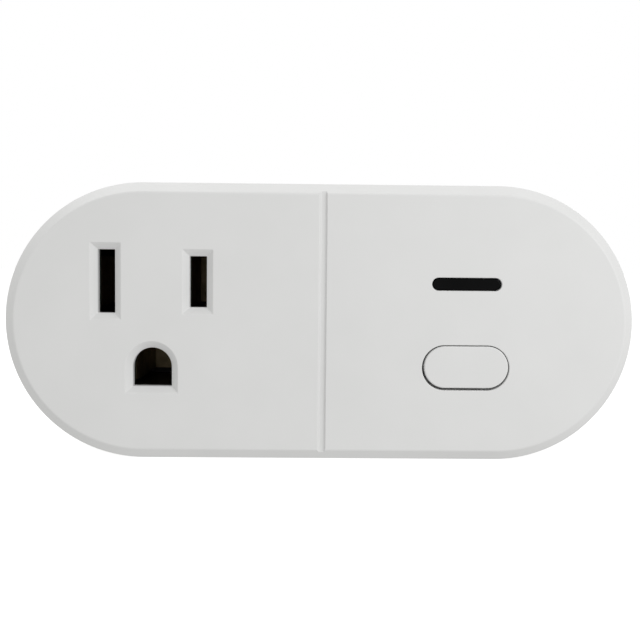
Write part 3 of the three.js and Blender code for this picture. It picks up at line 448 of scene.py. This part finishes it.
def winding():
    """Enamelled wire wound side by side round an axis along Y, coloured in bands along Y: dark bands of
    painted shade between the turns and bright bands of painted highlight on them.
    """
    finish = Finish("enamelled_copper")
    turns = finish.add(
        "ShaderNodeTexWave", {"Vector": finish.place, "Scale": 1 / (TURN_SHADE_BAND * MM), "Distortion": 0.4},
        bands_direction="Y",
    ).outputs["Fac"]
    # painted shade and highlight: the darker colour is the shade between turns, the brighter one the light on
    # each turn
    finish.colour(finish.mixed(turns, (0.22, 0.045, 0.012), (0.62, 0.2, 0.07)))
    finish.roughness(finish.levels(finish.noise(0.5), 0.22, 0.4))
    finish.relief([(turns, 0.05)])
    finish.surface.inputs["Metallic"].default_value = 0.85
    return finish.material


WHITE_SHADES = ((0.755, 0.757, 0.756), (0.775, 0.776, 0.776))
PLASTICS = {  # two shades, roughness from and to, size of the grain, depth of the grain
    "shell_plastic": (WHITE_SHADES, (0.43, 0.53), 0.16, 0.0025),
    "black_plastic": (((0.013, 0.0125, 0.01), (0.019, 0.018, 0.015)), (0.4, 0.5), 0.3, 0.0025),
    "cream_plastic": (((0.62, 0.56, 0.43), (0.68, 0.62, 0.5)), (0.45, 0.55), 0.25, 0.0025),
    "smoked_plastic": (((0.0014, 0.0015, 0.0016), (0.003, 0.0032, 0.0034)), (0.16, 0.22), 0.6, 0.001),
    "relay_blue": (((0.01, 0.06, 0.3), (0.014, 0.08, 0.36)), (0.34, 0.42), 0.4, 0.0025),
    "chip_black": (((0.007, 0.007, 0.008), (0.014, 0.014, 0.015)), (0.55, 0.68), 0.08, 0.004),
    "film_yellow": (((0.62, 0.4, 0.035), (0.7, 0.47, 0.06)), (0.4, 0.5), 0.5, 0.01),
    "varistor_blue": (((0.015, 0.07, 0.3), (0.025, 0.11, 0.4)), (0.35, 0.45), 1.2, 0.03),
    "fuse_brown": (((0.09, 0.025, 0.012), (0.12, 0.035, 0.018)), (0.4, 0.5), 0.4, 0.0025),
    "sleeve_black": (((0.006, 0.007, 0.009), (0.012, 0.013, 0.016)), (0.3, 0.38), 1.5, 0.01),
    "led_clear": (((0.8, 0.78, 0.68), (0.88, 0.86, 0.78)), (0.18, 0.25), 0.3, 0.0025),
    "wire_black": (((0.007, 0.007, 0.007), (0.013, 0.013, 0.013)), (0.4, 0.5), 0.5, 0.008),
    "wire_red": (((0.3, 0.012, 0.01), (0.38, 0.02, 0.016)), (0.4, 0.5), 0.5, 0.008),
    "wire_white": (((0.68, 0.68, 0.66), (0.76, 0.76, 0.74)), (0.4, 0.5), 0.5, 0.008),
}
METALS = {  # two shades, roughness from and to, stretch of the lines along each axis, width of a line
    "brass": (((0.19, 0.15, 0.09), (0.28, 0.22, 0.14)), (0.36, 0.5), (8, 1, 8), 0.05),  # darkened: painted shade for the contacts seen deep in the slots
    "nickel_plate": (((0.56, 0.54, 0.5), (0.66, 0.64, 0.6)), (0.25, 0.36), (8, 0.6, 8), 0.05),
    "steel": (((0.4, 0.4, 0.41), (0.52, 0.52, 0.53)), (0.32, 0.46), (1, 6, 1), 0.1),
}
SPECULAR_LEVELS = {"black_plastic": 0.3, "smoked_plastic": 0.08}  # 0.5 unless named here

FINISHES = {name: plastic(name, *values) for name, values in PLASTICS.items()}
FINISHES.update({name: metal(name, *values) for name, values in METALS.items()})
FINISHES["circuit_board"] = circuit_board()
FINISHES["enamelled_copper"] = winding()


# ---- pieces ----

MOULDING_SHARP_ANGLE = math.radians(32)


def piece(name, mesh, body, slot, *nodes):
    """A finished mesh as an object that rides on a body and stands for CAD nodes."""
    mesh.transform(Matrix.Scale(MM, 4))
    mesh.materials.clear()
    mesh.materials.append(FINISHES[slot])
    mesh.shade_smooth()
    mesh.set_sharp_from_angle(angle=MOULDING_SHARP_ANGLE)
    made = bpy.data.objects.new(name, mesh)
    bpy.context.scene.collection.objects.link(made)
    normals = made.modifiers.new("flat_faces", "WEIGHTED_NORMAL")
    normals.keep_sharp = True
    normals.weight = 80
    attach(made, body)
    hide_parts(*nodes)


def bevelled_cutter(outline, place):
    """Cuts a hole with a bevelled edge through the front wall."""
    return sweep(outline, rounded([
        (0, front_inner_y + 1, 0),
        (0, front_y + SLOT_BEVEL, 0.1),
        (SLOT_BEVEL, front_y - OVERRUN, BEVEL_ROUNDING),
        (SLOT_BEVEL + 1, front_y - OVERRUN, 0),
    ])[:-1] + [(SLOT_BEVEL + 0.5, front_y - 1)], place.x, place.z)


def opening_cutter(outline, face_y, inner_y, place, rounding=OPENING_ROUNDING):
    """Cuts a straight hole from a face inwards, with the face's edge rounded."""
    out = -1 if inner_y > face_y else 1
    return sweep(outline, rounded([
        (0, inner_y, 0),
        (0, face_y + out * OVERRUN, rounding),
        (1, face_y + out * OVERRUN, 0),
    ], 5)[:-1] + [(rounding + 0.3, face_y + out)], place.x, place.z)


def groove_cutter():
    """Cuts the upright groove near the face's middle: a soft left lip, a flat floor, a steeper right wall."""
    floor_y = front_y + GROOVE_DEPTH
    half = GROOVE_WIDTH / 2
    top = front_y - OVERRUN
    section = rounded([
        (-half - 1, top, 0),
        (-half + 0.08, top, 0.15),
        (-half + 0.4, floor_y, 0.2),
        (half - 0.15, floor_y, 0.15),
        (half - 0.07, top, 0.08),
        (half + 1, top, 0),
    ], 6)[1:-1]
    section += [(section[-1][0] + 0.4, top - 1), (section[0][0] - 0.4, top - 1)]
    ends = (front_low.z - 1, front_high.z + 1)
    return skin([[(case_centre.x + GROOVE_X + u, y, z) for u, y in section] for z in ends])


def front_cover():
    side = SIDE_WALL
    lip_side = SIDE_WALL - LIP_THICKNESS - GAP
    lip_top_y = lip_end_y - GAP
    shell = sweep(case_outline, rounded([
        (-EDGE_CHAMFER - 3, front_y, 0),
        (-EDGE_CHAMFER, front_y, CHAMFER_INNER_ROUNDING),
        (0, front_y + EDGE_CHAMFER, CHAMFER_OUTER_ROUNDING),
        (0, front_end_y, SEAM_ROUNDING),
        (-lip_side, front_end_y, LIP_ROUNDING),
        (-lip_side, lip_top_y, 0),
        (-side, lip_top_y, LIP_ROUNDING),
        (-side, front_inner_y, INNER_FILLET),
        (-side - 3, front_inner_y, 0),
    ], 6)[1:-1], case_centre.x, case_centre.z)
    root_y = front_inner_y - WELD
    solids = [
        rod(FRONT_BOSS_RADIUS, root_y, front_end_y, place, edge=BOSS_ROUNDING) for place in screw_places
    ]
    post_end_y = board_front_y - BOARD_GAP
    solids += [rod(POST_RADIUS, root_y, post_end_y, place, edge=BOSS_ROUNDING) for place in post_places]
    guides = [
        (core_outline, CORE_GUIDE_HEIGHT, core_centre),
        (outline_of(button_low, button_high), BUTTON_GUIDE_HEIGHT, button_centre),
        (outline_of(light_low, light_high), LIGHT_SHROUD_HEIGHT, light_centre),
    ]
    for outline, height, place in guides:
        solids.append(collar(outline, GAP, GAP + GUIDE_WALL, root_y, front_inner_y + height, place))
    shell = joined(shell, *solids)
    cutters = [rod(PILOT_RADIUS, front_inner_y + PILOT_FLOOR, rear_y, place, 24) for place in screw_places]
    cutters += [
        rod(BOARD_PILOT_RADIUS, front_inner_y + BOARD_PILOT_FLOOR, rear_y, place, 24) for place in post_places
    ]
    for name, height in SLOT_HEIGHTS.items():
        cutters.append(bevelled_cutter(rectangle(SLOT_WIDTH, height), blade_places[name]))
    cutters.append(bevelled_cutter(arch(EARTH_HOLE_RADIUS), pin_centre))
    button_hole = outline_of(button_low, button_high, FLANGE_OF_BUTTON, 32)
    cutters.append(opening_cutter(button_hole, front_y, front_inner_y + 1, button_centre))
    light_hole = outline_of(light_low, light_high, FLANGE_OF_LIGHT)
    cutters.append(opening_cutter(light_hole, front_y, front_inner_y + 1, light_centre))
    cutters.append(groove_cutter())
    return cut(shell, *cutters)


def rear_cover():
    lip_outer = SIDE_WALL - LIP_THICKNESS
    shell = sweep(case_outline, rounded([
        (-EDGE_CHAMFER - 3, rear_y, 0),
        (-EDGE_CHAMFER, rear_y, CHAMFER_INNER_ROUNDING),
        (0, rear_y - EDGE_CHAMFER, CHAMFER_OUTER_ROUNDING),
        (0, rear_end_y, SEAM_ROUNDING),
        (-lip_outer, rear_end_y, LIP_ROUNDING),
        (-lip_outer, lip_end_y, 0.15),
        (-SIDE_WALL, lip_end_y, LIP_ROUNDING),
        (-SIDE_WALL, rear_inner_y, INNER_FILLET),
        (-SIDE_WALL - 3, rear_inner_y, 0),
    ], 6)[1:-1], case_centre.x, case_centre.z)
    shell = cut(shell, *[rod(FRONT_BOSS_RADIUS + GAP, front_y, rear_end_y, place) for place in screw_places])
    root_y = rear_inner_y + WELD
    solids = [rod(REAR_BOSS_RADIUS, root_y, rear_end_y, place, edge=BOSS_ROUNDING) for place in screw_places]
    solids.append(collar(core_outline, GAP, GAP + GUIDE_WALL, root_y, carrier_front_y, core_centre))
    shell = joined(shell, *solids)
    seat_y = rear_y - SCREW_RECESS_DEPTH
    recess = circle(SCREW_RECESS_RADIUS, 64)
    shank = SCREW_SHANK_RADIUS + GAP
    cutters = [opening_cutter(recess, rear_y, seat_y, place, RECESS_ROUNDING) for place in screw_places]
    cutters += [rod(shank, seat_y - BOSS_SEAT - 1, rear_y, place, 24) for place in screw_places]
    cutters += [rod(BOSS_BORE_RADIUS, front_y, seat_y - BOSS_SEAT, place, 32) for place in screw_places]
    for name, place in blade_places.items():
        low, high, _ = box_of(f"{name}_blade")
        width = high.x - low.x + 2 * GAP
        height = high.z - low.z - 2 * BLADE_SHOULDER + 2 * GAP
        opening = rectangle(width, height, 0.3)
        cutters.append(opening_cutter(opening, rear_y, rear_end_y, place, REAR_OPENING_ROUNDING))
    low_x = screw_places[2].x + LABEL_MARGIN
    high_x = screw_places[1].x - LABEL_MARGIN
    label = rectangle(high_x - low_x, LABEL_HEIGHT, LABEL_CORNER, 8)
    label_place = Vector(((low_x + high_x) / 2, 0, case_centre.z))
    cutters.append(opening_cutter(label, rear_y, rear_y - LABEL_DEPTH, label_place, LABEL_ROUNDING))
    pin_hole = circle(PIN_RADIUS + GAP, 64)
    cutters.append(opening_cutter(pin_hole, rear_y, rear_end_y, pin_centre, REAR_OPENING_ROUNDING))
    return cut(shell, *cutters)


def button_cap():
    """A hollow cap with a flange behind the face and a stem that reaches the switch."""
    outline = outline_of(button_low, button_high, FLANGE_OF_BUTTON + SLIDE_GAP, 36)
    flange = SLIDE_GAP + FLANGE_OF_BUTTON
    flange_front_y = button_high.y - FLANGE_OF_BUTTON
    ceiling_y = button_low.y + BUTTON_WALL
    shell = sweep(outline, rounded([
        (-2, button_low.y, 0),
        (0, button_low.y, BUTTON_ROUNDING),
        (0, flange_front_y, 0.1),
        (flange, flange_front_y, 0.1),
        (flange, button_high.y, 0.1),
        (-BUTTON_WALL, button_high.y, 0),
        (-BUTTON_WALL, ceiling_y, 0.3),
        (-BUTTON_WALL - 1, ceiling_y, 0),
    ], 5)[1:-1], button_centre.x, button_centre.z)
    stem = rod(BUTTON_STEM_RADIUS, ceiling_y - WELD, button_high.y, button_centre, edge=BOSS_ROUNDING)
    cap = joined(shell, stem)
    cap.transform(Matrix.Translation(Vector(BUTTON_LEAN)))
    return cap


def light_bar():
    """A smoked window in the face, with a flange behind the wall and two legs down to the LEDs."""
    outline = outline_of(light_low, light_high, FLANGE_OF_LIGHT + LIGHT_INSET)
    flange = LIGHT_INSET + FLANGE_OF_LIGHT
    flange_front_y = front_inner_y + 0.1
    flange_rear_y = flange_front_y + 1
    window = sweep(outline, rounded([
        (-0.7, light_low.y, 0),
        (0, light_low.y, LIGHT_ROUNDING),
        (0, flange_front_y, 0),
        (flange, flange_front_y, 0.1),
        (flange, flange_rear_y, 0.1),
        (-0.5, flange_rear_y, 0),
    ], 5)[1:], light_centre.x, light_centre.z)
    rods = []
    for i in (1, 2):
        led = box_of(f"status_led_{i}")[2]
        rods.append(rod(LIGHT_LEG_RADIUS, flange_rear_y - WELD, light_high.y, led, edge=0.1))
    return joined(window, *rods)


def earth_pin():
    """A turned pin with a bullet tip, a flange held in the carrier and a thinner root."""
    root = 0.3 * PIN_RADIUS
    flange_rear_y = rear_inner_y - GAP
    flange_front_y = flange_rear_y - SHOULDER_DEPTH
    tip_y = pin_high.y - PIN_RADIUS
    tip = arc(-PIN_RADIUS, tip_y, PIN_RADIUS, 0, 84, 12)
    profile = rounded([
        (-root, pin_low.y, 0),
        (-root, flange_front_y, 0.1),
        (PIN_FLANGE, flange_front_y, 0.1),
        (PIN_FLANGE, flange_rear_y, 0.1),
        (0, flange_rear_y, 0.1),
        (0, tip_y, 0),
    ])[:-1]
    return sweep(circle(PIN_RADIUS, 64), profile + tip, pin_centre.x, pin_centre.z)


def blade(node):
    """A stamped flat blade: a tapered tip, a round hole, shoulders and a root, with its edges rounded."""
    low, high, centre = box_of(node)
    half = (high.z - low.z) / 2 - BLADE_SHOULDER
    thick = (high.x - low.x) / 2
    rear_seat_y = rear_inner_y - GAP
    front_seat_y = rear_seat_y - SHOULDER_DEPTH

    def outline(inset):
        slant = inset * 0.41  # the tip's corners turn by 45 degrees, so their inset sides meet this far back
        right = [
            (BLADE_ROOT - inset, low.y + inset),
            (BLADE_ROOT - inset, front_seat_y + inset),
            (half + BLADE_SHOULDER - inset, front_seat_y + inset),
            (half + BLADE_SHOULDER - inset, rear_seat_y - inset),
            (half - inset, rear_seat_y - inset),
            (half - inset, high.y - BLADE_TIP - slant),
            (half - BLADE_TIP - slant, high.y - inset),
        ]
        return right + [(-u, y) for u, y in reversed(right)]

    edge, radius = BLADE_ROUNDING, BLADE_ROUNDING * 0.98
    sides = rounded([(edge, -thick, 0), (0, -thick, radius), (0, thick, radius), (edge, thick, 0)], 4)
    rings = [[(centre.x + x, y, centre.z + u) for u, y in outline(inset)] for inset, x in sides[1:-1]]
    body = skin(rings)
    profile = rounded([
        (0.5, -thick - 0.3, 0),
        (0.15, -thick - OVERRUN, 0.05),
        (0, -thick + 0.15, 0),
        (0, thick - 0.15, 0),
        (0.15, thick + OVERRUN, 0.05),
        (0.5, thick + 0.3, 0),
    ])
    hole = skin([
        [(centre.x + x, BLADE_HOLE_Y + u, centre.z + v) for u, v in circle(BLADE_HOLE_RADIUS + offset)(0)]
        for offset, x in profile
    ])
    return cut(body, hole)


def screw(node, radius, head_radius, head_height, pitch):
    """A pan-head screw along Y, its head to the rear, with a cut thread and a cross recess."""
    low, high, centre = box_of(node)
    seat_y = high.y - head_height
    steps, rows = 28, 7  # points round the shank, and rings in one turn of the thread
    core = radius * 0.74
    taper = 2 * radius  # length of the point
    thread = seat_y - 0.4 - low.y
    rings = []
    count = int(thread / pitch * rows)
    for row in range(count + 1):
        y = low.y + thread * row / count
        point = min(1.0, 0.3 + 0.7 * (y - low.y) / taper)
        ring = []
        for i in range(steps):
            phase = (y / pitch - i / steps) % 1
            ridge = max(0.0, 1 - abs(phase - 0.5) * 3.4)
            size = (core + (radius - core) * ridge) * point
            angle = 2 * math.pi * i / steps
            ring.append((centre.x + size * math.cos(angle), y, centre.z + size * math.sin(angle)))
        rings.append(ring)
    head = rounded([
        (core, seat_y - 0.1, 0),
        (core, seat_y, 0),
        (head_radius, seat_y, 0.1),
        (head_radius, seat_y + head_height * 0.55, head_height * 0.4),
        (head_radius * 0.55, high.y, 0.3),
        (0.1, high.y, 0),
    ], 5)
    for size, y in head:
        rings.append([(centre.x + u, y, centre.z + v) for u, v in circle(size, steps)(0)])
    body = skin(rings)
    depth = head_height * 0.6
    arm, width = head_radius * 1.1, head_radius * 0.3
    cross = [
        sweep(rectangle(w, h, 0.1), [(-0.12, high.y - depth), (0, high.y + 0.5)], centre.x, centre.z)
        for w, h in ((arm, width), (width, arm))
    ]
    return cut(body, *cross)


piece("front_cover_moulding", front_cover(), "housing", "shell_plastic", "front_cover")
piece("rear_cover_moulding", rear_cover(), "housing", "shell_plastic", "rear_cover")
piece("button_cap_moulding", button_cap(), "button", "shell_plastic", "button_cap")
piece("light_bar_window", light_bar(), "housing", "smoked_plastic", "light_bar")
piece("earth_pin_turned", earth_pin(), "housing", "nickel_plate", "earth_pin")
for name in SLOT_HEIGHTS:
    piece(f"{name}_blade_stamped", blade(f"{name}_blade"), "housing", "nickel_plate", f"{name}_blade")
for kind, places, sizes in (("case", screw_places, CASE_SCREW), ("board", post_places, BOARD_SCREW)):
    for i in range(1, len(places) + 1):
        node = f"{kind}_screw_{i}"
        piece(f"{node}_threaded", screw(node, *sizes), "housing", "steel", node)


# ---- round and fine parts on the board, remade with more detail ----

def side_of(node):
    """A round CAD node's place, foot, top and radius; it stands on the board towards +Y."""
    low, high, centre = box_of(node)
    return centre, low.y, high.y, (high.x - low.x) / 2


SLEEVE_LIP = 1.1  # how far a capacitor's sleeve is folded over its can
RIM = 0.4  # thickness of that fold
FLANGE_OF_DRUM = 1.3
INDUCTOR_WIRE = 0.45
RELAY_WIRE = 0.32
LEG_REACH = 0.8
CHIP_LEGS = {  # legs on each side, and their pitch
    "bridge_rectifier": (2, 2.6),
    "converter_chip": (4, 1.27),
    "regulator_chip": (3, 1.4),
}


def sleeve(node):
    """A capacitor's shrink sleeve: crimped near its foot and folded over the can's rim."""
    place, foot, top, radius = side_of(node)
    return sweep(circle(radius, 64), rounded([
        (-1.2, foot, 0),
        (-0.2, foot, 0.15),
        (0, foot + 0.6, 0.3),
        (0, foot + 1.3, 0.3),
        (-0.35, foot + 1.75, 0.35),
        (0, foot + 2.2, 0.3),
        (0, top, 0.4),
        (-SLEEVE_LIP, top, 0.1),
        (-SLEEVE_LIP, top - RIM, 0),
        (-2 * SLEEVE_LIP, top - RIM, 0),
    ]), place.x, place.z)


def can_top(node):
    """The bare end of the can inside the sleeve's rim, scored with a cross so that it can vent."""
    place, _, top, radius = side_of(node)
    disc = rod(radius - SLEEVE_LIP - 0.05, top - RIM + 0.02, top - 0.12, place, 48, 0.08)
    width = 0.22
    score = [
        sweep(rectangle(w, h, 0.05), [(0, top - 0.2), (0.03, top + 0.5)], place.x, place.z)
        for w, h in ((radius, width), (width, radius))
    ]
    return cut(disc, *score)


def drum(node):
    """A ferrite drum core: two flanges on a barrel."""
    place, foot, top, radius = side_of(node)
    flange = FLANGE_OF_DRUM
    waist = radius * 0.45
    return sweep(circle(radius, 64), rounded([
        (-1, foot, 0),
        (0, foot, 0.2),
        (0, foot + flange, 0.2),
        (-waist, foot + flange + 0.1, 0.1),
        (-waist, top - flange - 0.1, 0.1),
        (0, top - flange, 0.2),
        (0, top, 0.2),
        (-1, top, 0),
    ]), place.x, place.z)


def coil(place, inner, outer, y0, y1, wire):
    """A coil of round wire: its outer turns stand out as ridges side by side."""
    turns = max(2, round((y1 - y0) / wire))
    pitch = (y1 - y0) / turns
    steps = 5
    ridges = []
    for turn in range(turns):
        for i in range(steps):
            t = i / steps
            bulge = math.sqrt(1 - (2 * t - 1) ** 2) * pitch / 2
            ridges.append((outer - pitch / 2 + bulge, y0 + pitch * (turn + t)))
    profile = [(inner, y0)] + ridges + [(outer - pitch / 2, y1), (inner, y1)]
    return sweep(circle(0, 56), profile, place.x, place.z, closed=True)


def legs(node, count, pitch):
    """Bent legs along the two long sides of a chip, from half its height down to the board."""
    low, high, centre = box_of(node)
    mid_y = (low.y + high.y) / 2
    foot_y = board_front_y - 0.13
    half, thick = 0.2, 0.09
    strips = []
    for side, edge_z in ((1, high.z), (-1, low.z)):
        route = rounded([
            (edge_z - side * 0.3, mid_y, 0),
            (edge_z + side * LEG_REACH * 0.35, mid_y, 0.2),
            (edge_z + side * LEG_REACH * 0.5, foot_y, 0.2),
            (edge_z + side * LEG_REACH, foot_y, 0),
        ])
        for i in range(count):
            x = centre.x + (i - (count - 1) / 2) * pitch
            corners = ((-half, -thick), (half, -thick), (half, thick), (-half, thick))
            strips.append(skin([[(x + u, y + v, z) for u, v in corners] for z, y in route]))
    return joined(*strips)


for i in (1, 2):
    node = f"bulk_capacitor_{i}"
    piece(f"{node}_sleeve", sleeve(node), "housing", "sleeve_black", node)
    piece(f"{node}_can", can_top(node), "housing", "nickel_plate")
piece("inductor_core", drum("inductor"), "housing", "chip_black", "inductor")
place, foot, top, radius = side_of("inductor")
between = FLANGE_OF_DRUM + 0.2
drum_coil = coil(place, radius * 0.57, radius * 0.86, foot + between, top - between, INDUCTOR_WIRE)
piece("inductor_coil", drum_coil, "housing", "enamelled_copper")
place, foot, top, radius = side_of("relay_winding")
relay_coil = coil(place, BOBBIN_RADIUS, radius, foot, top, RELAY_WIRE)
piece("relay_coil", relay_coil, "housing", "enamelled_copper", "relay_winding")
for node, (count, pitch) in CHIP_LEGS.items():
    piece(f"{node}_legs", legs(node, count, pitch), "housing", "nickel_plate")


# ---- CAD nodes that keep their shape ----

SHARP_ANGLE = math.radians(40)


def smoothing():
    """A modifier's node group that shades smooth, with edges over the sharp angle sharp."""
    group = bpy.data.node_groups.new("shade_by_angle", "GeometryNodeTree")
    group.interface.new_socket("Geometry", in_out="INPUT", socket_type="NodeSocketGeometry")
    group.interface.new_socket("Geometry", in_out="OUTPUT", socket_type="NodeSocketGeometry")
    add = group.nodes.new
    source, result = add("NodeGroupInput"), add("NodeGroupOutput")
    faces, edges = add("GeometryNodeSetShadeSmooth"), add("GeometryNodeSetShadeSmooth")
    edges.domain = "EDGE"
    edges.inputs["Shade Smooth"].default_value = False
    angle = add("GeometryNodeInputMeshEdgeAngle")
    sharp = add("FunctionNodeCompare")
    sharp.operation = "GREATER_THAN"
    sharp.inputs[1].default_value = SHARP_ANGLE
    link = group.links.new
    link(source.outputs[0], faces.inputs["Geometry"])
    link(faces.outputs[0], edges.inputs["Geometry"])
    link(angle.outputs["Unsigned Angle"], sharp.inputs[0])
    link(sharp.outputs[0], edges.inputs["Selection"])
    link(edges.outputs[0], result.inputs[0])
    return group


shade_by_angle = smoothing()
SLOT_OF_NODE = {
    node: slot
    for slot, nodes in {
        "black_plastic": "outlet_core contact_retainer",
        "cream_plastic": "blade_carrier relay_bobbin",
        "brass": (
            "neutral_contact line_contact earth_contact earth_strap relay_contact_spring relay_fixed_contact"
        ),
        "nickel_plate": "radio_can",
        "steel": "relay_yoke relay_armature switch_dome",
        "circuit_board": "main_board radio_board",
        "relay_blue": "relay_case",
        "chip_black": "relay_base bridge_rectifier converter_chip regulator_chip switch_body switch_plunger",
        "film_yellow": "film_capacitor",
        "varistor_blue": "varistor",
        "fuse_brown": "fuse",
        "led_clear": "status_led_1 status_led_2",
        "wire_black": "line_in_lead",
        "wire_red": "line_out_lead",
        "wire_white": "neutral_lead",
    }.items()
    for node in nodes.split()
}
EDGE_ROUNDING = {  # millimetres, on the nodes that are plain blocks
    node: radius
    for radius, nodes in {
        0.08: "main_board earth_strap",
        0.1: "relay_yoke status_led_1 status_led_2 switch_body",
        0.12: (
            "contact_retainer blade_carrier relay_base converter_chip regulator_chip relay_armature"
            " switch_plunger"
        ),
        0.15: "outlet_core radio_can bridge_rectifier",
        0.25: "relay_case fuse",
        0.3: "film_capacitor",
        0.5: "varistor",
    }.items()
    for node in nodes.split()
}
for node, slot in SLOT_OF_NODE.items():
    cad = frame["nodes"][node]
    for i in range(max(1, len(cad.material_slots))):
        if not cad.material_slots:
            cad.data.materials.append(None)
        cad.material_slots[i].link = "OBJECT"
        cad.material_slots[i].material = FINISHES[slot]
    smooth = cad.modifiers.new("shade_by_angle", "NODES")
    smooth.node_group = shade_by_angle
    if node in EDGE_ROUNDING:
        bevel = cad.modifiers.new("edges", "BEVEL")
        bevel.width = EDGE_ROUNDING[node] * MM
        bevel.segments = 3
        bevel.limit_method = "ANGLE"
        bevel.angle_limit = SHARP_ANGLE
        normals = cad.modifiers.new("flat_faces", "WEIGHTED_NORMAL")
        normals.keep_sharp = True


# ---- floor, light and camera ----

FLOOR_GAP = 0.05  # keeps the floor from lying in the same plane as the case's flat underside


def floor():
    """A large plain pale plane under the object."""
    half = 3.0  # metres
    body = bmesh.new()
    height = (front_low.z - FLOOR_GAP) * MM
    corners = [(-half, -half), (half, -half), (half, half), (-half, half)]
    body.faces.new([body.verts.new((x, y, height)) for x, y in corners])
    mesh = bpy.data.meshes.new("floor")
    body.to_mesh(mesh)
    body.free()
    finish = Finish("floor_paper")
    finish.colour(finish.mixed(finish.noise(40, 2.0), (0.9, 0.9, 0.9), (0.93, 0.93, 0.93)))
    finish.surface.inputs["Roughness"].default_value = 0.9
    finish.surface.inputs["Emission Color"].default_value = (1, 1, 1, 1)
    finish.surface.inputs["Emission Strength"].default_value = 0.52
    mesh.materials.append(finish.material)
    made = bpy.data.objects.new("floor", mesh)
    bpy.context.scene.collection.objects.link(made)
    made.visible_diffuse = False
    made.visible_glossy = False


def softbox(name, place, target, size, power):
    """A square lamp at a place, turned towards a target; metres and watts."""
    light = bpy.data.lights.new(name, "AREA")
    light.shape = "SQUARE"
    light.size = size
    light.energy = power
    made = bpy.data.objects.new(name, light)
    made.location = place
    made.rotation_euler = (Vector(place) - Vector(target)).to_track_quat("Z", "Y").to_euler()
    bpy.context.scene.collection.objects.link(made)


def world(fill):
    """An even surround that lights the object at `fill` and is seen as white."""
    surround = bpy.data.worlds.new("surround")
    surround.use_nodes = True
    nodes, links = surround.node_tree.nodes, surround.node_tree.links
    seen = nodes.new("ShaderNodeBackground")
    seen.inputs["Strength"].default_value = 1.0
    seen.inputs["Color"].default_value = (1, 1, 1, 1)
    lit = nodes["Background"]
    lit.inputs["Color"].default_value = (1, 1, 0.985, 1)
    lit.inputs["Strength"].default_value = fill
    mix = nodes.new("ShaderNodeMixShader")
    links.new(nodes.new("ShaderNodeLightPath").outputs["Is Camera Ray"], mix.inputs[0])
    links.new(lit.outputs[0], mix.inputs[1])
    links.new(seen.outputs[0], mix.inputs[2])
    links.new(mix.outputs[0], nodes["World Output"].inputs["Surface"])
    bpy.context.scene.world = surround


def camera():
    """The viewpoint: nearly square to the face, a little above it and left of the case's middle."""
    yaw, pitch, roll = -0.0186, 0.0569, 0.0096
    forward = Vector((-math.sin(yaw) * math.cos(pitch), math.cos(yaw) * math.cos(pitch), -math.sin(pitch)))
    level = Vector((math.cos(yaw), math.sin(yaw), 0))
    upright = level.cross(forward)
    right = level * math.cos(roll) + upright * math.sin(roll)
    up = upright * math.cos(roll) - level * math.sin(roll)
    data = bpy.data.cameras.new("camera")
    data.sensor_width = 36
    data.lens = 55.87
    data.clip_start = 0.01
    made = bpy.data.objects.new("camera", data)
    place = Vector((case_centre.x - 2.67, -168.34, case_centre.z + 8.21)) * MM
    made.matrix_world = Matrix.Translation(place) @ Matrix((right, up, -forward)).transposed().to_4x4()
    bpy.context.scene.collection.objects.link(made)
    bpy.context.scene.camera = made


floor()
world(fill=0.67)
face = Vector((case_centre.x, front_y, case_centre.z)) * MM
LAMPS = {  # metres from the face's centre, size in metres, watts
    "key": ((0.165, -0.175, 0.085), 0.15, 0.22),
    "rim": ((-0.16, 0.1, 0.34), 0.3, 0.45),
}
for name, (offset, size, power) in LAMPS.items():
    softbox(name, face + Vector(offset), face, size, power)
camera()
settings = bpy.context.scene.view_settings
settings.view_transform = "Standard"
settings.look = "None"
settings.exposure = 0
settings.gamma = 1
